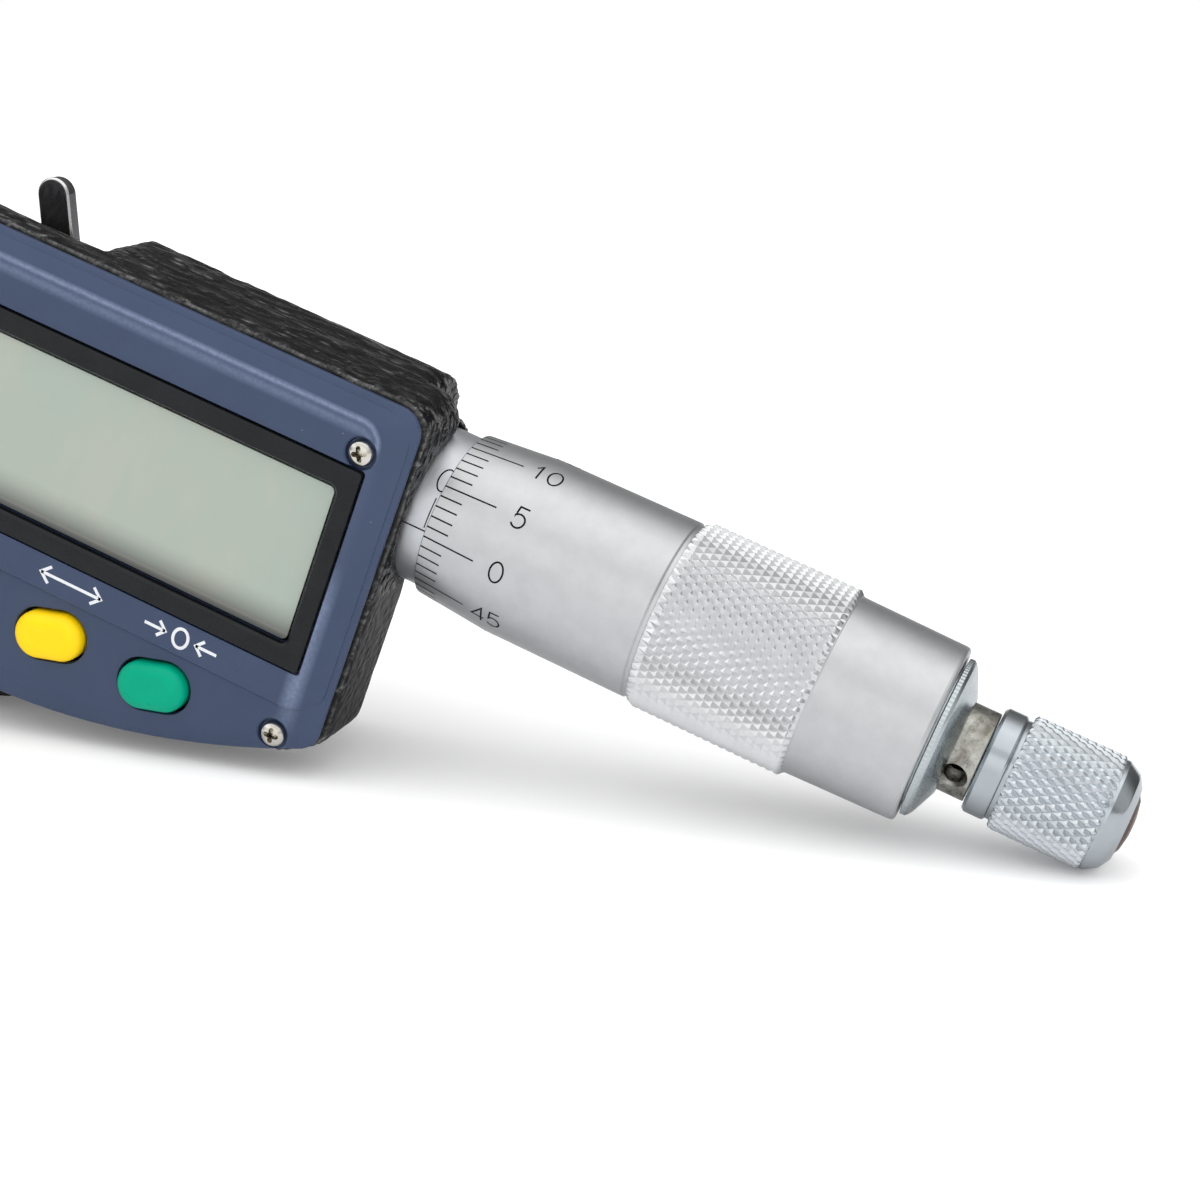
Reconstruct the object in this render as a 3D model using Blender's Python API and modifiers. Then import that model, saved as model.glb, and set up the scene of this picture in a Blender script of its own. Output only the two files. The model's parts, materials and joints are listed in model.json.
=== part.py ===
"""Digital outside micrometer, 0 to 25 mm, with a display housing, lock lever and ratchet.

+X runs along the spindle toward the ratchet, +Z comes out of the display panel, +Y is up
across the panel. Origin: the point of the flat back that lies under the spindle's axis,
at ORIGIN_X from the anvil. The dimensions below are measured from the centre of the
anvil's measuring face, and the origin's empty carries everything to the origin. The
micrometer is closed: the spindle face stands 0.3 mm off the anvil face.
"""
import math

import bmesh
import bpy
from mathutils import Matrix, Vector

MM = 0.001
GAP = 0.3
MERGE = 0.00001

# Spindle and measuring faces
SPINDLE_R = 3.25
BORE_R = SPINDLE_R + GAP
TIP_LENGTH = 1.5
ANVIL_END = -14.2
SPINDLE_END = 146.4
KEYWAY_START, KEYWAY_END = 47.0, 80.0
KEYWAY_WIDTH = 1.6
KEYWAY_FLOOR = 2.3

# U-shaped frame
U_HALF = 5.2
U_LEFT, U_BOTTOM = -14.5, -46.7
THROAT_LEFT, THROAT_RIGHT, THROAT_BOTTOM = -4.0, 32.5, -31.0

# Display housing
HOUSING_LEFT, HOUSING_RIGHT = 33.2, 92.8
HOUSING_TOP = 11.5
HOUSING_CHIN = -34.4
CHIN_CENTRE, CHIN_RADIUS = 54.0, 75.0
TRAY_BACK, TRAY_FRONT = 0.8, 9.5
BACK = -9.6
ORIGIN_X = 73.0
POCKET_FLOOR = 5.6
WALL = 2.2
POCKET_LEFT, POCKET_RIGHT = 37.0, 88.2
BARREL_LEFT, BARREL_RIGHT, BARREL_BOTTOM = 53.0, 89.0, -9.5
BACK_LEFT, BACK_RIGHT = 45.0, 84.0
WAIST_BACK = -5.0
CREST_R = 6.6
SLOPE_FRONT, SLOPE_BACK, SLOPE_LOW = 5.8, -6.0, 7.0
BACK_STEP = 1.6
BOSS_END, BOSS_R = 91.8, 8.6

# Thimble, sleeve and ratchet along the axis
THIMBLE_START = 95.0
SLEEVE_R = 7.7
THIMBLE_BORE_R = SLEEVE_R + GAP
THIMBLE_EDGE_R, THIMBLE_R, KNURL_R = 8.25, 9.0, 9.45
CONE_LENGTH, KNURL_START, KNURL_LENGTH, THIMBLE_LENGTH = 7.5, 22.4, 16.5, 49.9
SLEEVE_START, SLEEVE_END = 89.5, 121.0

# Front panel, display and buttons
PANEL_INSET = 0.5
PANEL_BACK, PANEL_EDGE, PANEL_LOW, PANEL_TOP = 9.8, 10.1, 10.8, 11.3
PLATEAU_TOP, PLATEAU_BOTTOM = 9.2, -21.4
BEZEL = (37.6, 88.6, -17.2, 3.9)
VIEW = (39.4, 86.7, -15.1, 1.7)
LEDGE = 10.4
BUTTON_LENGTH, BUTTON_WIDTH, BUTTON_TILT = 7.3, 4.8, 17.0
BUTTON_Y = -25.3
BUTTONS = (("button_on_off", 51.4, (0.62, 0.03, 0.03)),
           ("button_units", 63.2, (1.0, 0.72, 0.02)),
           ("button_zero", 75.0, (0.0, 0.43, 0.24)))
SCREWS = ((87.7, 5.6), (38.3, 5.6), (88.0, -24.4), (38.3, -28.0))
SCREW_HEAD_R, SCREW_R, SCREW_LENGTH = 1.2, 0.65, 5.0

# Lock lever, behind the frame
LOCK_X, LOCK_ANGLE = 46.5, 23.0
LEVER_LENGTH, LEVER_HALF = 13.3, 1.8
LEVER_BACK, LEVER_FRONT = -8.3, -6.5

# Encoder
ENCODER_R = 6.2
CAVITY_START, CAVITY_END = 69.0, 79.4

# Battery bay, in the back of the housing
BATTERY_X, BATTERY_Y, BATTERY_R = 66.0, -20.0, 5.8

PARTS = bpy.data.collections.new("outside_micrometer")
CUTTERS = bpy.data.collections.new("cutters")


def start_scene():
    for old in list(bpy.data.objects):
        bpy.data.objects.remove(old, do_unlink=True)
    for collection in (PARTS, CUTTERS):
        bpy.context.scene.collection.children.link(collection)
    origin = bpy.data.objects.new("origin", None)
    origin.location = Vector((-ORIGIN_X, 0.0, -BACK)) * MM
    PARTS.objects.link(origin)


def material(name, colour, roughness, metallic=0.0):
    made = bpy.data.materials.get(name)
    if made is None:
        made = bpy.data.materials.new(name)
        made.use_nodes = True
        shader = made.node_tree.nodes["Principled BSDF"]
        shader.inputs["Base Color"].default_value = (*colour, 1.0)
        shader.inputs["Roughness"].default_value = roughness
        shader.inputs["Metallic"].default_value = metallic
    return made


def add_object(name, data, look):
    made = bpy.data.objects.new(name, data)
    made.parent = bpy.data.objects["origin"]
    data.materials.append(look)
    PARTS.objects.link(made)
    return made


def as_cutter(made):
    PARTS.objects.unlink(made)
    CUTTERS.objects.link(made)
    made.hide_render = True
    made.display_type = "WIRE"
    return made


def boolean(made, other, operation):
    modifier = made.modifiers.new(operation.lower(), "BOOLEAN")
    modifier.operation = operation
    modifier.object = as_cutter(other)


def cut(made, *others):
    for other in others:
        boolean(made, other, "DIFFERENCE")


def join(made, *others):
    for other in others:
        boolean(made, other, "UNION")


def bevel(made, width, segments=1, angle=35.0):
    modifier = made.modifiers.new("bevel", "BEVEL")
    modifier.width = width * MM
    modifier.segments = segments
    modifier.limit_method = "ANGLE"
    modifier.angle_limit = math.radians(angle)


def smooth(made, angle=35.0):
    made.data.shade_smooth()
    made.data.set_sharp_from_angle(angle=math.radians(angle))


def carried(made, empty):
    made.parent = empty
    made.matrix_parent_inverse = Matrix.Translation(-empty.location)


def joint_empty(name, location):
    empty = bpy.data.objects.new(name, None)
    empty.parent = bpy.data.objects["origin"]
    empty.location = Vector(location) * MM
    empty.empty_display_size = 5 * MM
    PARTS.objects.link(empty)
    return empty


def turned(name, profile, look, segments=48, axis="X", centre=(0.0, 0.0)):
    """Turn a profile of (place along the axis, radius), listed from its far end down.

    A profile that starts and ends at radius 0 is solid, and any other is closed on itself.
    centre is the axis's place in the plane across it.
    """
    mesh = bpy.data.meshes.new(name)
    corners = [(radius * MM, 0.0, along * MM) for along, radius in profile]
    links = [(i, i + 1) for i in range(len(corners) - 1)]
    if profile[0][1] > 0:
        links.append((len(corners) - 1, 0))
    mesh.from_pydata(corners, links, [])
    made = add_object(name, mesh, look)
    if axis == "X":
        made.rotation_euler = (0, math.pi / 2, 0)
        made.location = (0, centre[0] * MM, centre[1] * MM)
    else:
        made.location = (centre[0] * MM, centre[1] * MM, 0)
    screw = made.modifiers.new("turn", "SCREW")
    screw.axis = "Z"
    screw.steps = screw.render_steps = segments
    screw.use_merge_vertices = True
    screw.merge_threshold = MERGE
    screw.use_smooth_shade = False
    return made


def cylinder(name, start, end, radius, look, segments=32, axis="X", centre=(0.0, 0.0)):
    profile = [(end, 0.0), (end, radius), (start, radius), (start, 0.0)]
    return turned(name, profile, look, segments, axis, centre)


def ring(name, start, end, outer, inner, look, segments=48, axis="X", centre=(0.0, 0.0)):
    profile = [(end, inner), (end, outer), (start, outer), (start, inner)]
    return turned(name, profile, look, segments, axis, centre)


def extruded(name, outline, low, high, look, plane="XY"):
    """Fill a closed 2D outline and give it thickness from low to high across its plane."""
    curve = bpy.data.curves.new(name, "CURVE")
    curve.dimensions = "2D"
    curve.fill_mode = "BOTH"
    curve.extrude = (high - low) / 2 * MM
    spline = curve.splines.new("POLY")
    spline.points.add(len(outline) - 1)
    for point, (x, y) in zip(spline.points, outline):
        point.co = (x * MM, y * MM, 0, 1)
    spline.use_cyclic_u = True
    drawn = bpy.data.objects.new(name + "_curve", curve)
    PARTS.objects.link(drawn)
    evaluated = drawn.evaluated_get(bpy.context.evaluated_depsgraph_get())
    mesh = bpy.data.meshes.new_from_object(evaluated)
    bpy.data.objects.remove(drawn, do_unlink=True)
    solid = bmesh.new()
    solid.from_mesh(mesh)
    bmesh.ops.remove_doubles(solid, verts=solid.verts, dist=MERGE)
    bmesh.ops.dissolve_limit(solid, angle_limit=0.001, verts=solid.verts, edges=solid.edges)
    bmesh.ops.recalc_face_normals(solid, faces=solid.faces)
    solid.to_mesh(mesh)
    solid.free()
    mesh.name = name
    mesh.materials.clear()
    made = add_object(name, mesh, look)
    middle = (low + high) / 2 * MM
    if plane == "YZ":
        made.rotation_euler = (math.pi / 2, 0, math.pi / 2)
        made.location = (middle, 0, 0)
    else:
        made.location = (0, 0, middle)
    return made


def box(name, low, high, look):
    outline = [(low[0], low[1]), (high[0], low[1]), (high[0], high[1]), (low[0], high[1])]
    return extruded(name, outline, low[2], high[2], look)


def arc(centre, radius, start, end, steps):
    """Points along an arc from the start angle to the end angle, in degrees."""
    angles = [math.radians(start + (end - start) * i / steps) for i in range(steps + 1)]
    return [(centre[0] + radius * math.cos(a), centre[1] + radius * math.sin(a)) for a in angles]


def rounded(corners, steps=4):
    """Round the corners of a counterclockwise outline, each given as (x, y, radius)."""
    points = []
    count = len(corners)
    for i, (x, y, radius) in enumerate(corners):
        here = Vector((x, y))
        back = (Vector(corners[i - 1][:2]) - here).normalized()
        ahead = (Vector(corners[(i + 1) % count][:2]) - here).normalized()
        if radius == 0:
            points.append((x, y))
            continue
        half = back.angle(ahead) / 2
        reach = radius / math.tan(half)
        first, last = here + back * reach, here + ahead * reach
        centre = here + (back + ahead).normalized() * (radius / math.sin(half))
        start = math.atan2(first.y - centre.y, first.x - centre.x)
        turn = math.atan2(last.y - centre.y, last.x - centre.x) - start
        turn = (turn + math.pi) % (2 * math.pi) - math.pi
        amount = max(1, round(steps * (1 + radius / 12) * abs(turn) / (math.pi / 2)))
        for step in range(amount + 1):
            angle = start + turn * step / amount
            points.append((centre.x + radius * math.cos(angle), centre.y + radius * math.sin(angle)))
    return points


def rectangle(left, right, bottom, top, radius, steps=4):
    return rounded([(left, bottom, radius), (right, bottom, radius), (right, top, radius),
                    (left, top, radius)], steps)


def obround(length, width, centre, tilt, steps=8):
    """A slot outline: two half circles joined by straight sides, turned by tilt degrees."""
    reach, radius = (length - width) / 2, width / 2
    points = arc((reach, 0), radius, -90, 90, steps) + arc((-reach, 0), radius, 90, 270, steps)
    turn = Matrix.Rotation(math.radians(tilt), 2)
    turned_points = [turn @ Vector(point) for point in points]
    return [(centre[0] + p.x, centre[1] + p.y) for p in turned_points]


def chin(x, inset=0.0):
    """Height of the housing's curved lower edge at x."""
    return HOUSING_CHIN + inset + (x - CHIN_CENTRE) ** 2 / (2 * CHIN_RADIUS)


def housing_outline(inset, corner=3.0):
    """The housing's front outline: straight top and sides over a curved lower edge."""
    left, right, top = HOUSING_LEFT + inset, HOUSING_RIGHT - inset, HOUSING_TOP - inset
    radius = max(corner - inset, 1.0)
    steps = 7
    span = right - left - 2 * radius
    low = [(left + radius + span * i / steps, 0.0) for i in range(steps + 1)]
    bottom = [(x, chin(x, inset), 0.0) for x, _ in low]
    corners = [(left, chin(left, inset), radius)] + bottom[1:-1]
    corners += [(right, chin(right, inset), radius), (right, top, radius), (left, top, radius)]
    return rounded(corners)


# ---------------------------------------------------------------- frame and measuring faces

def frame_blank(look):
    """The cast frame before it is bored: U, display tray, spindle barrel and back housing."""
    frame = extruded("frame", rounded([
        (U_LEFT, U_BOTTOM, 30), (37.3, U_BOTTOM, 40), (72.0, -30.5, 0), (72.0, 5.0, 0),
        (THROAT_RIGHT, 5.0, 0), (THROAT_RIGHT, THROAT_BOTTOM, 17), (THROAT_LEFT, THROAT_BOTTOM, 17),
        (THROAT_LEFT, 5.6, 1.5), (U_LEFT, 5.6, 3)]), -U_HALF, U_HALF, look)
    bevel(frame, 1.0)
    tray = extruded("tray", housing_outline(0), TRAY_BACK, TRAY_FRONT, look)
    bevel(tray, 0.4)
    waist = extruded("waist", rounded([
        (BARREL_BOTTOM + 1, WAIST_BACK, 1), (9.0, WAIST_BACK, 5), (9.0, 3.0, 0),
        (BARREL_BOTTOM + 1, 3.0, 0)]), HOUSING_LEFT + 0.3, BARREL_LEFT + 2, look, "YZ")
    top = HOUSING_TOP - 0.1
    back = extruded("back_body", rounded([
        (BACK_LEFT, chin(BACK_LEFT, BACK_STEP), 2), (58.0, chin(58.0, BACK_STEP), 0),
        (71.0, chin(71.0, BACK_STEP), 0), (BACK_RIGHT, chin(BACK_RIGHT, BACK_STEP), 2),
        (BACK_RIGHT, BARREL_BOTTOM, 2), (BARREL_RIGHT, BARREL_BOTTOM, 2), (BARREL_RIGHT, top, 2),
        (BARREL_LEFT, top, 3), (BARREL_LEFT, BARREL_BOTTOM + 0.4, 3),
        (BACK_LEFT, BARREL_BOTTOM + 0.4, 2)]), BACK, 3.3, look)
    above, behind = HOUSING_TOP + 2, BACK - 2
    crest = extruded("crest", arc((top - CREST_R, BACK + CREST_R), CREST_R, -90, 0, 8)
                     + [(above, BACK + CREST_R), (above, behind), (HOUSING_TOP - CREST_R, behind)],
                     BARREL_LEFT - 2, BARREL_RIGHT + 2, look, "YZ")
    cut(back, crest)
    slope = extruded("slope", [
        (SLOPE_LOW, SLOPE_BACK), (above, SLOPE_BACK), (above, SLOPE_FRONT), (top, SLOPE_FRONT)],
        HOUSING_LEFT - 1, BARREL_LEFT + 2.6, look, "YZ")
    boss = cylinder("boss", 86.0, BOSS_END, BOSS_R, look, 48)
    lock_boss = cylinder("lock_boss", -6.2, -4.0, 4.5, look, 24, "Z", (LOCK_X, 0))
    join(frame, tray, waist)
    cut(frame, slope)
    join(frame, back, boss, lock_boss)
    return frame


def frame_bores(look):
    """Every hollow along the spindle's axis, turned as one stepped cutter."""
    stepped = turned("bores", [
        (BOSS_END + 1, 0), (BOSS_END + 1, SLEEVE_R + GAP), (89.2, SLEEVE_R + GAP), (89.2, 4.9),
        (CAVITY_END, 4.9), (CAVITY_END, ENCODER_R + 0.4), (CAVITY_START, ENCODER_R + 0.4),
        (CAVITY_START, BORE_R), (THROAT_RIGHT - 2, BORE_R), (THROAT_RIGHT - 2, 0)], look, 48)
    anvil_hole = cylinder("anvil_hole", U_LEFT - 1, THROAT_LEFT + 1, BORE_R, look)
    lock_hole = cylinder("lock_hole", -7.0, -2.0, 2.6, look, 24, "Z", (LOCK_X, 0))
    battery = turned("battery_bay", [
        (-0.6, 0), (-0.6, 6.1), (-8.0, 6.1), (-8.0, 7.6), (BACK - 1, 7.6), (BACK - 1, 0)],
        look, 36, "Z", (BATTERY_X, BATTERY_Y))
    wire_hole = cylinder("wire_hole", -1.0, POCKET_FLOOR + 1, 1.5, look, 16, "Z", (BATTERY_X, BATTERY_Y))
    return battery, wire_hole, stepped, anvil_hole, lock_hole


def make_frame():
    look = material("frame_coating", (0.012, 0.012, 0.013), 0.35)
    frame = frame_blank(look)
    floor_edge = [(x, chin(x, WALL), 0.0) for x in (45.5, 54.0, 62.5, 71.0, 79.5)]
    roof = HOUSING_TOP - WALL
    pocket = extruded("pocket", rounded(
        [(POCKET_LEFT, chin(POCKET_LEFT, WALL), 2)] + floor_edge
        + [(POCKET_RIGHT, chin(POCKET_RIGHT, WALL), 2), (POCKET_RIGHT, roof, 2), (POCKET_LEFT, roof, 2)]),
        POCKET_FLOOR, TRAY_FRONT + 1, look)
    cut(frame, pocket)
    for i, (x, y) in enumerate(SCREWS):
        post = cylinder(f"post_{i}", POCKET_FLOOR - 1, TRAY_FRONT - 0.2, 2.2, look, 16, "Z", (x, y))
        join(frame, post)
    for i, (x, y) in enumerate(SCREWS):
        hole = cylinder(f"screw_hole_{i}", 4.9, TRAY_FRONT + 1, SCREW_R + GAP, look, 12, "Z", (x, y))
        cut(frame, hole)
    cut(frame, *frame_bores(look))
    return frame


def make_measuring_faces():
    steel = material("ground_steel", (0.56, 0.57, 0.58), 0.22, 1.0)
    carbide = material("carbide", (0.30, 0.31, 0.32), 0.15, 1.0)
    turned("anvil", [(-TIP_LENGTH - GAP, 0), (-TIP_LENGTH - GAP, SPINDLE_R), (ANVIL_END + 0.5, SPINDLE_R),
                     (ANVIL_END, SPINDLE_R - 0.5), (ANVIL_END, 0)], steel, 32)
    turned("anvil_tip", [(0, 0), (0, SPINDLE_R - 0.2), (-0.2, SPINDLE_R), (-TIP_LENGTH, SPINDLE_R),
                         (-TIP_LENGTH, 0)], carbide, 32)


def make_spindle(travel):
    steel = material("ground_steel", (0.56, 0.57, 0.58), 0.22, 1.0)
    carbide = material("carbide", (0.30, 0.31, 0.32), 0.15, 1.0)
    tip = turned("spindle_tip", [
        (TIP_LENGTH + GAP, 0), (TIP_LENGTH + GAP, SPINDLE_R), (GAP + 0.2, SPINDLE_R),
        (GAP, SPINDLE_R - 0.2), (GAP, 0)], carbide, 32)
    spindle = turned("spindle", [
        (SPINDLE_END + 2.6, 0), (SPINDLE_END + 2.6, 1.9), (SPINDLE_END - 0.5, 1.9), (SPINDLE_END - 0.5, 3.0),
        (129.5, 3.0), (129.0, SPINDLE_R), (TIP_LENGTH + 2 * GAP, SPINDLE_R), (TIP_LENGTH + 2 * GAP, 0)],
        steel, 32)
    keyway = box("keyway", (KEYWAY_START, -KEYWAY_WIDTH / 2, KEYWAY_FLOOR),
                 (KEYWAY_END, KEYWAY_WIDTH / 2, SPINDLE_R + 1), steel)
    cut(spindle, keyway)
    for made in (tip, spindle):
        carried(made, travel)


# ---------------------------------------------------------------- sleeve, nut and encoder

def make_sleeve():
    satin = material("satin_chrome", (0.58, 0.59, 0.61), 0.38, 1.0)
    steel = material("nut_steel", (0.40, 0.40, 0.41), 0.35, 1.0)
    brass = material("brass", (0.60, 0.42, 0.16), 0.35, 1.0)
    ring("sleeve", SLEEVE_START, SLEEVE_END, SLEEVE_R, 6.9, satin, 40)
    turned("inner_sleeve", [
        (126.0, BORE_R), (126.0, 5.2), (SLEEVE_END - 0.2, 5.2), (SLEEVE_END - 0.2, 6.6), (SLEEVE_START, 6.6),
        (SLEEVE_START, 4.6), (CAVITY_END + 0.3, 4.6), (CAVITY_END + 0.3, BORE_R)], steel, 28)
    ring("adjusting_nut", SLEEVE_END + GAP, 125.6, 7.2, 5.5, brass, 28)


def make_encoder(spin):
    green = material("encoder_board", (0.03, 0.16, 0.07), 0.5)
    brass = material("brass", (0.60, 0.42, 0.16), 0.35, 1.0)
    steel = material("nut_steel", (0.40, 0.40, 0.41), 0.35, 1.0)
    ring("encoder_stator", 70.4, 71.6, ENCODER_R, BORE_R + 0.4, green, 28)
    rotor = ring("encoder_rotor", 72.1, 73.1, ENCODER_R - 0.3, 4.6, green, 28)
    bush = turned("rotor_bush", [
        (78.4, BORE_R), (78.4, 5.6), (73.4, 5.6), (73.4, 4.3), (72.1, 4.3), (72.1, BORE_R)], brass, 24)
    slot = box("bush_slot", (70.0, -0.8, 0), (80.0, 0.8, 4.9), brass)
    cut(bush, slot)
    key = box("rotor_key", (73.8, -0.5, KEYWAY_FLOOR + GAP), (78.2, 0.5, 4.55), steel)
    for made in (rotor, bush, key):
        carried(made, spin)


# ---------------------------------------------------------------- thimble and ratchet

def make_thimble(travel):
    satin = material("satin_chrome", (0.58, 0.59, 0.61), 0.38, 1.0)
    zinc = material("zinc_plate", (0.63, 0.67, 0.71), 0.28, 1.0)
    start, knurl = THIMBLE_START, THIMBLE_START + KNURL_START
    knurl_end, end = knurl + KNURL_LENGTH, THIMBLE_START + THIMBLE_LENGTH
    thimble = turned("thimble", [
        (end, 7.2), (end, 8.4), (end - 0.5, 8.75), (knurl_end + 0.4, THIMBLE_R - 0.05),
        (knurl_end, KNURL_R - 0.2), (knurl_end - 0.3, KNURL_R), (knurl + 0.6, KNURL_R),
        (knurl + 0.35, THIMBLE_R - 0.15), (knurl, THIMBLE_R - 0.15), (knurl - 0.2, THIMBLE_R),
        (start + CONE_LENGTH, THIMBLE_R - 0.08), (start, THIMBLE_EDGE_R), (start, THIMBLE_BORE_R),
        (131.0, THIMBLE_BORE_R), (131.0, 7.2)], satin, 40)
    cap = turned("thimble_cap", [
        (end + 1.4, BORE_R), (end + 1.4, 7.3), (end + 0.9, 7.85), (end + GAP, 7.85), (end + GAP, 6.9),
        (132.0, 6.9), (132.0, BORE_R)], zinc, 32)
    for made in (thimble, cap):
        carried(made, travel)


def make_ratchet(travel, knob_axis):
    dark = material("neck_steel", (0.22, 0.21, 0.18), 0.5, 1.0)
    zinc = material("zinc_plate", (0.63, 0.67, 0.71), 0.28, 1.0)
    steel = material("nut_steel", (0.40, 0.40, 0.41), 0.35, 1.0)
    spring_steel = material("spring_steel", (0.35, 0.35, 0.36), 0.3, 1.0)
    bronze = material("end_screw", (0.10, 0.07, 0.06), 0.45, 1.0)
    neck = THIMBLE_START + 51.6
    collar, drum, drum_end, end = (THIMBLE_START + x for x in (55.2, 57.7, 66.6, 69.3))
    stem = turned("ratchet_stem", [
        (end - 3.0, 0), (end - 3.0, 1.8), (collar - 0.4, 1.8), (collar - 0.4, 4.4), (neck, 4.4), (neck, 2.2),
        (neck + 2.8, 2.2), (neck + 2.8, 0)], dark, 24)
    hole = cylinder("tommy_hole", -2.0, 8.0, 1.0, dark, 16, "Z", (THIMBLE_START + 53.2, 0))
    hole.rotation_euler = (math.radians(16.3), 0, 0)
    cut(stem, hole)
    knob = turned("ratchet_knob", [
        (end, 3.5), (end, 4.7), (drum_end + 0.3, 5.4), (drum_end, 5.6), (drum + 0.2, 5.6), (drum, 5.2),
        (drum - 0.4, 4.9), (collar + 2.1, 4.9), (collar + 1.9, 5.2), (collar + 0.2, 5.2), (collar, 4.9),
        (collar, 2.1), (collar + 1.5, 2.1), (collar + 1.5, 4.2), (end - 3.3, 4.2), (end - 3.3, 2.1),
        (end - 1.8, 2.1), (end - 1.8, 3.5)], zinc, 28)
    fixed_disc = ring("ratchet_disc", collar + 1.8, collar + 3.2, 3.9, 2.1, steel, 20)
    pawl = ring("ratchet_pawl", collar + 3.5, collar + 4.9, 3.9, 2.1, steel, 20)
    spring = make_coil("ratchet_spring", collar + 5.5, end - 3.9, 3.0, 0.3, 4, spring_steel)
    screw = turned("ratchet_screw", [
        (end - 0.2, 0), (end - 0.2, 2.9), (end - 0.5, 3.1), (end - 1.5, 3.1), (end - 1.5, 1.7), (end - 2.7, 1.7),
        (end - 2.7, 0)], bronze, 24)
    slot = box("ratchet_screw_slot", (end - 0.8, -4, -0.35), (end + 1, 4, 0.35), bronze)
    cut(screw, slot)
    for made in (stem, fixed_disc, screw):
        carried(made, travel)
    for made in (knob, pawl, spring):
        carried(made, knob_axis)


def make_coil(name, start, end, radius, wire, turns, look):
    """A compression spring along X, its path worked out turn by turn."""
    curve = bpy.data.curves.new(name, "CURVE")
    curve.dimensions = "3D"
    curve.bevel_depth = wire * MM
    curve.bevel_resolution = 0
    curve.use_fill_caps = True
    steps = 10 * turns
    spline = curve.splines.new("POLY")
    spline.points.add(steps)
    for i, point in enumerate(spline.points):
        angle = 2 * math.pi * turns * i / steps
        along = start + (end - start) * i / steps
        point.co = (along * MM, radius * math.cos(angle) * MM, radius * math.sin(angle) * MM, 1)
    made = add_object(name, curve, look)
    weld = made.modifiers.new("weld", "WELD")
    weld.merge_threshold = MERGE
    return made


# ---------------------------------------------------------------- spindle lock

def make_lock(lock_axis):
    gunmetal = material("lever_steel", (0.10, 0.10, 0.11), 0.3, 1.0)
    brass = material("brass", (0.60, 0.42, 0.16), 0.35, 1.0)
    hub, tip = 3.6, LEVER_LENGTH - LEVER_HALF
    meet = math.degrees(math.asin(LEVER_HALF / hub))
    outline = arc((0, 0), hub, 90 + meet, 450 - meet, 16) + arc((0, tip), LEVER_HALF, 0, 180, 10)
    lever = extruded("lock_lever", outline, LEVER_BACK, LEVER_FRONT, gunmetal)
    lever.location.x = LOCK_X * MM
    lever.rotation_euler = (0, 0, math.radians(LOCK_ANGLE))
    screw_room = cylinder("lever_hole", LEVER_BACK - 1, LEVER_FRONT + 1, 1.7, gunmetal, 20, "Z",
                          (LOCK_X, 0))
    cut(lever, screw_room)
    screw = turned("lock_screw", [
        (-4.6, 0), (-4.6, 2.3), (-6.3, 2.3), (-6.3, 1.4), (LEVER_BACK - GAP, 1.4), (LEVER_BACK - GAP, 2.6),
        (-9.3, 2.6), (-9.3, 0)], gunmetal, 24, "Z", (LOCK_X, 0))
    slot = box("lock_screw_slot", (LOCK_X - 4, -0.35, -10), (LOCK_X + 4, 0.35, -8.95), gunmetal)
    cut(screw, slot)
    cylinder("lock_pad", -4.3, -3.6, 2.3, brass, 24, "Z", (LOCK_X, 0))
    for made in (lever, screw):
        carried(made, lock_axis)


# ---------------------------------------------------------------- front panel and electronics

def make_panel():
    blue = material("panel_blue", (0.06, 0.085, 0.19), 0.45)
    panel = extruded("front_panel", housing_outline(PANEL_INSET), PANEL_BACK, PANEL_LOW, blue)
    bevel(panel, PANEL_LOW - PANEL_EDGE, 1)
    plateau = extruded("plateau", rectangle(HOUSING_LEFT + 2.4, HOUSING_RIGHT - 2.4, PLATEAU_BOTTOM,
                                            PLATEAU_TOP, 2.5), PANEL_LOW - 0.5, PANEL_TOP, blue)
    bevel(plateau, 0.3)
    join(panel, plateau)
    recess = extruded("bezel_recess", rectangle(BEZEL[0] - GAP, BEZEL[1] + GAP, BEZEL[2] - GAP,
                                                BEZEL[3] + GAP, 0.4, 1), LEDGE, PANEL_TOP + 1, blue)
    window = extruded("view_opening", rectangle(*VIEW, 0.8, 2), PANEL_BACK - 1, PANEL_TOP + 1, blue)
    cut(panel, recess, window)
    for name, x, _ in BUTTONS:
        slot = obround(BUTTON_LENGTH + 2 * GAP, BUTTON_WIDTH + 2 * GAP, (x, BUTTON_Y), BUTTON_TILT, 6)
        cut(panel, extruded(name + "_slot", slot, PANEL_BACK - 1, PANEL_TOP + 1, blue))
    for i, (x, y) in enumerate(SCREWS):
        top = PANEL_TOP if y > PLATEAU_BOTTOM else PANEL_LOW
        hole = turned(f"head_hole_{i}", [
            (top + 1, 0), (top + 1, SCREW_HEAD_R + GAP), (top - 0.7, SCREW_HEAD_R + GAP),
            (top - 0.7, SCREW_R + GAP), (PANEL_BACK - 1, SCREW_R + GAP), (PANEL_BACK - 1, 0)],
            blue, 20, "Z", (x, y))
        cut(panel, hole)
    return panel


def make_panel_screws():
    nickel = material("nickel", (0.62, 0.60, 0.55), 0.22, 1.0)
    for i, (x, y) in enumerate(SCREWS):
        seat = (PANEL_TOP if y > PLATEAU_BOTTOM else PANEL_LOW) - 0.7 + 0.3
        screw = turned(f"panel_screw_{i + 1}", [
            (seat + 0.75, 0), (seat + 0.7, 0.5), (seat + 0.4, SCREW_HEAD_R), (seat, SCREW_HEAD_R),
            (seat, SCREW_R), (seat - SCREW_LENGTH, SCREW_R), (seat - SCREW_LENGTH - 0.5, 0)],
            nickel, 16, "Z", (x, y))
        for name, half in ((f"cross_{i}a", (0.65, 0.14)), (f"cross_{i}b", (0.14, 0.65))):
            recess = box(name, (x - half[0], y - half[1], seat + 0.3),
                         (x + half[0], y + half[1], seat + 2), nickel)
            cut(screw, recess)


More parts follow.
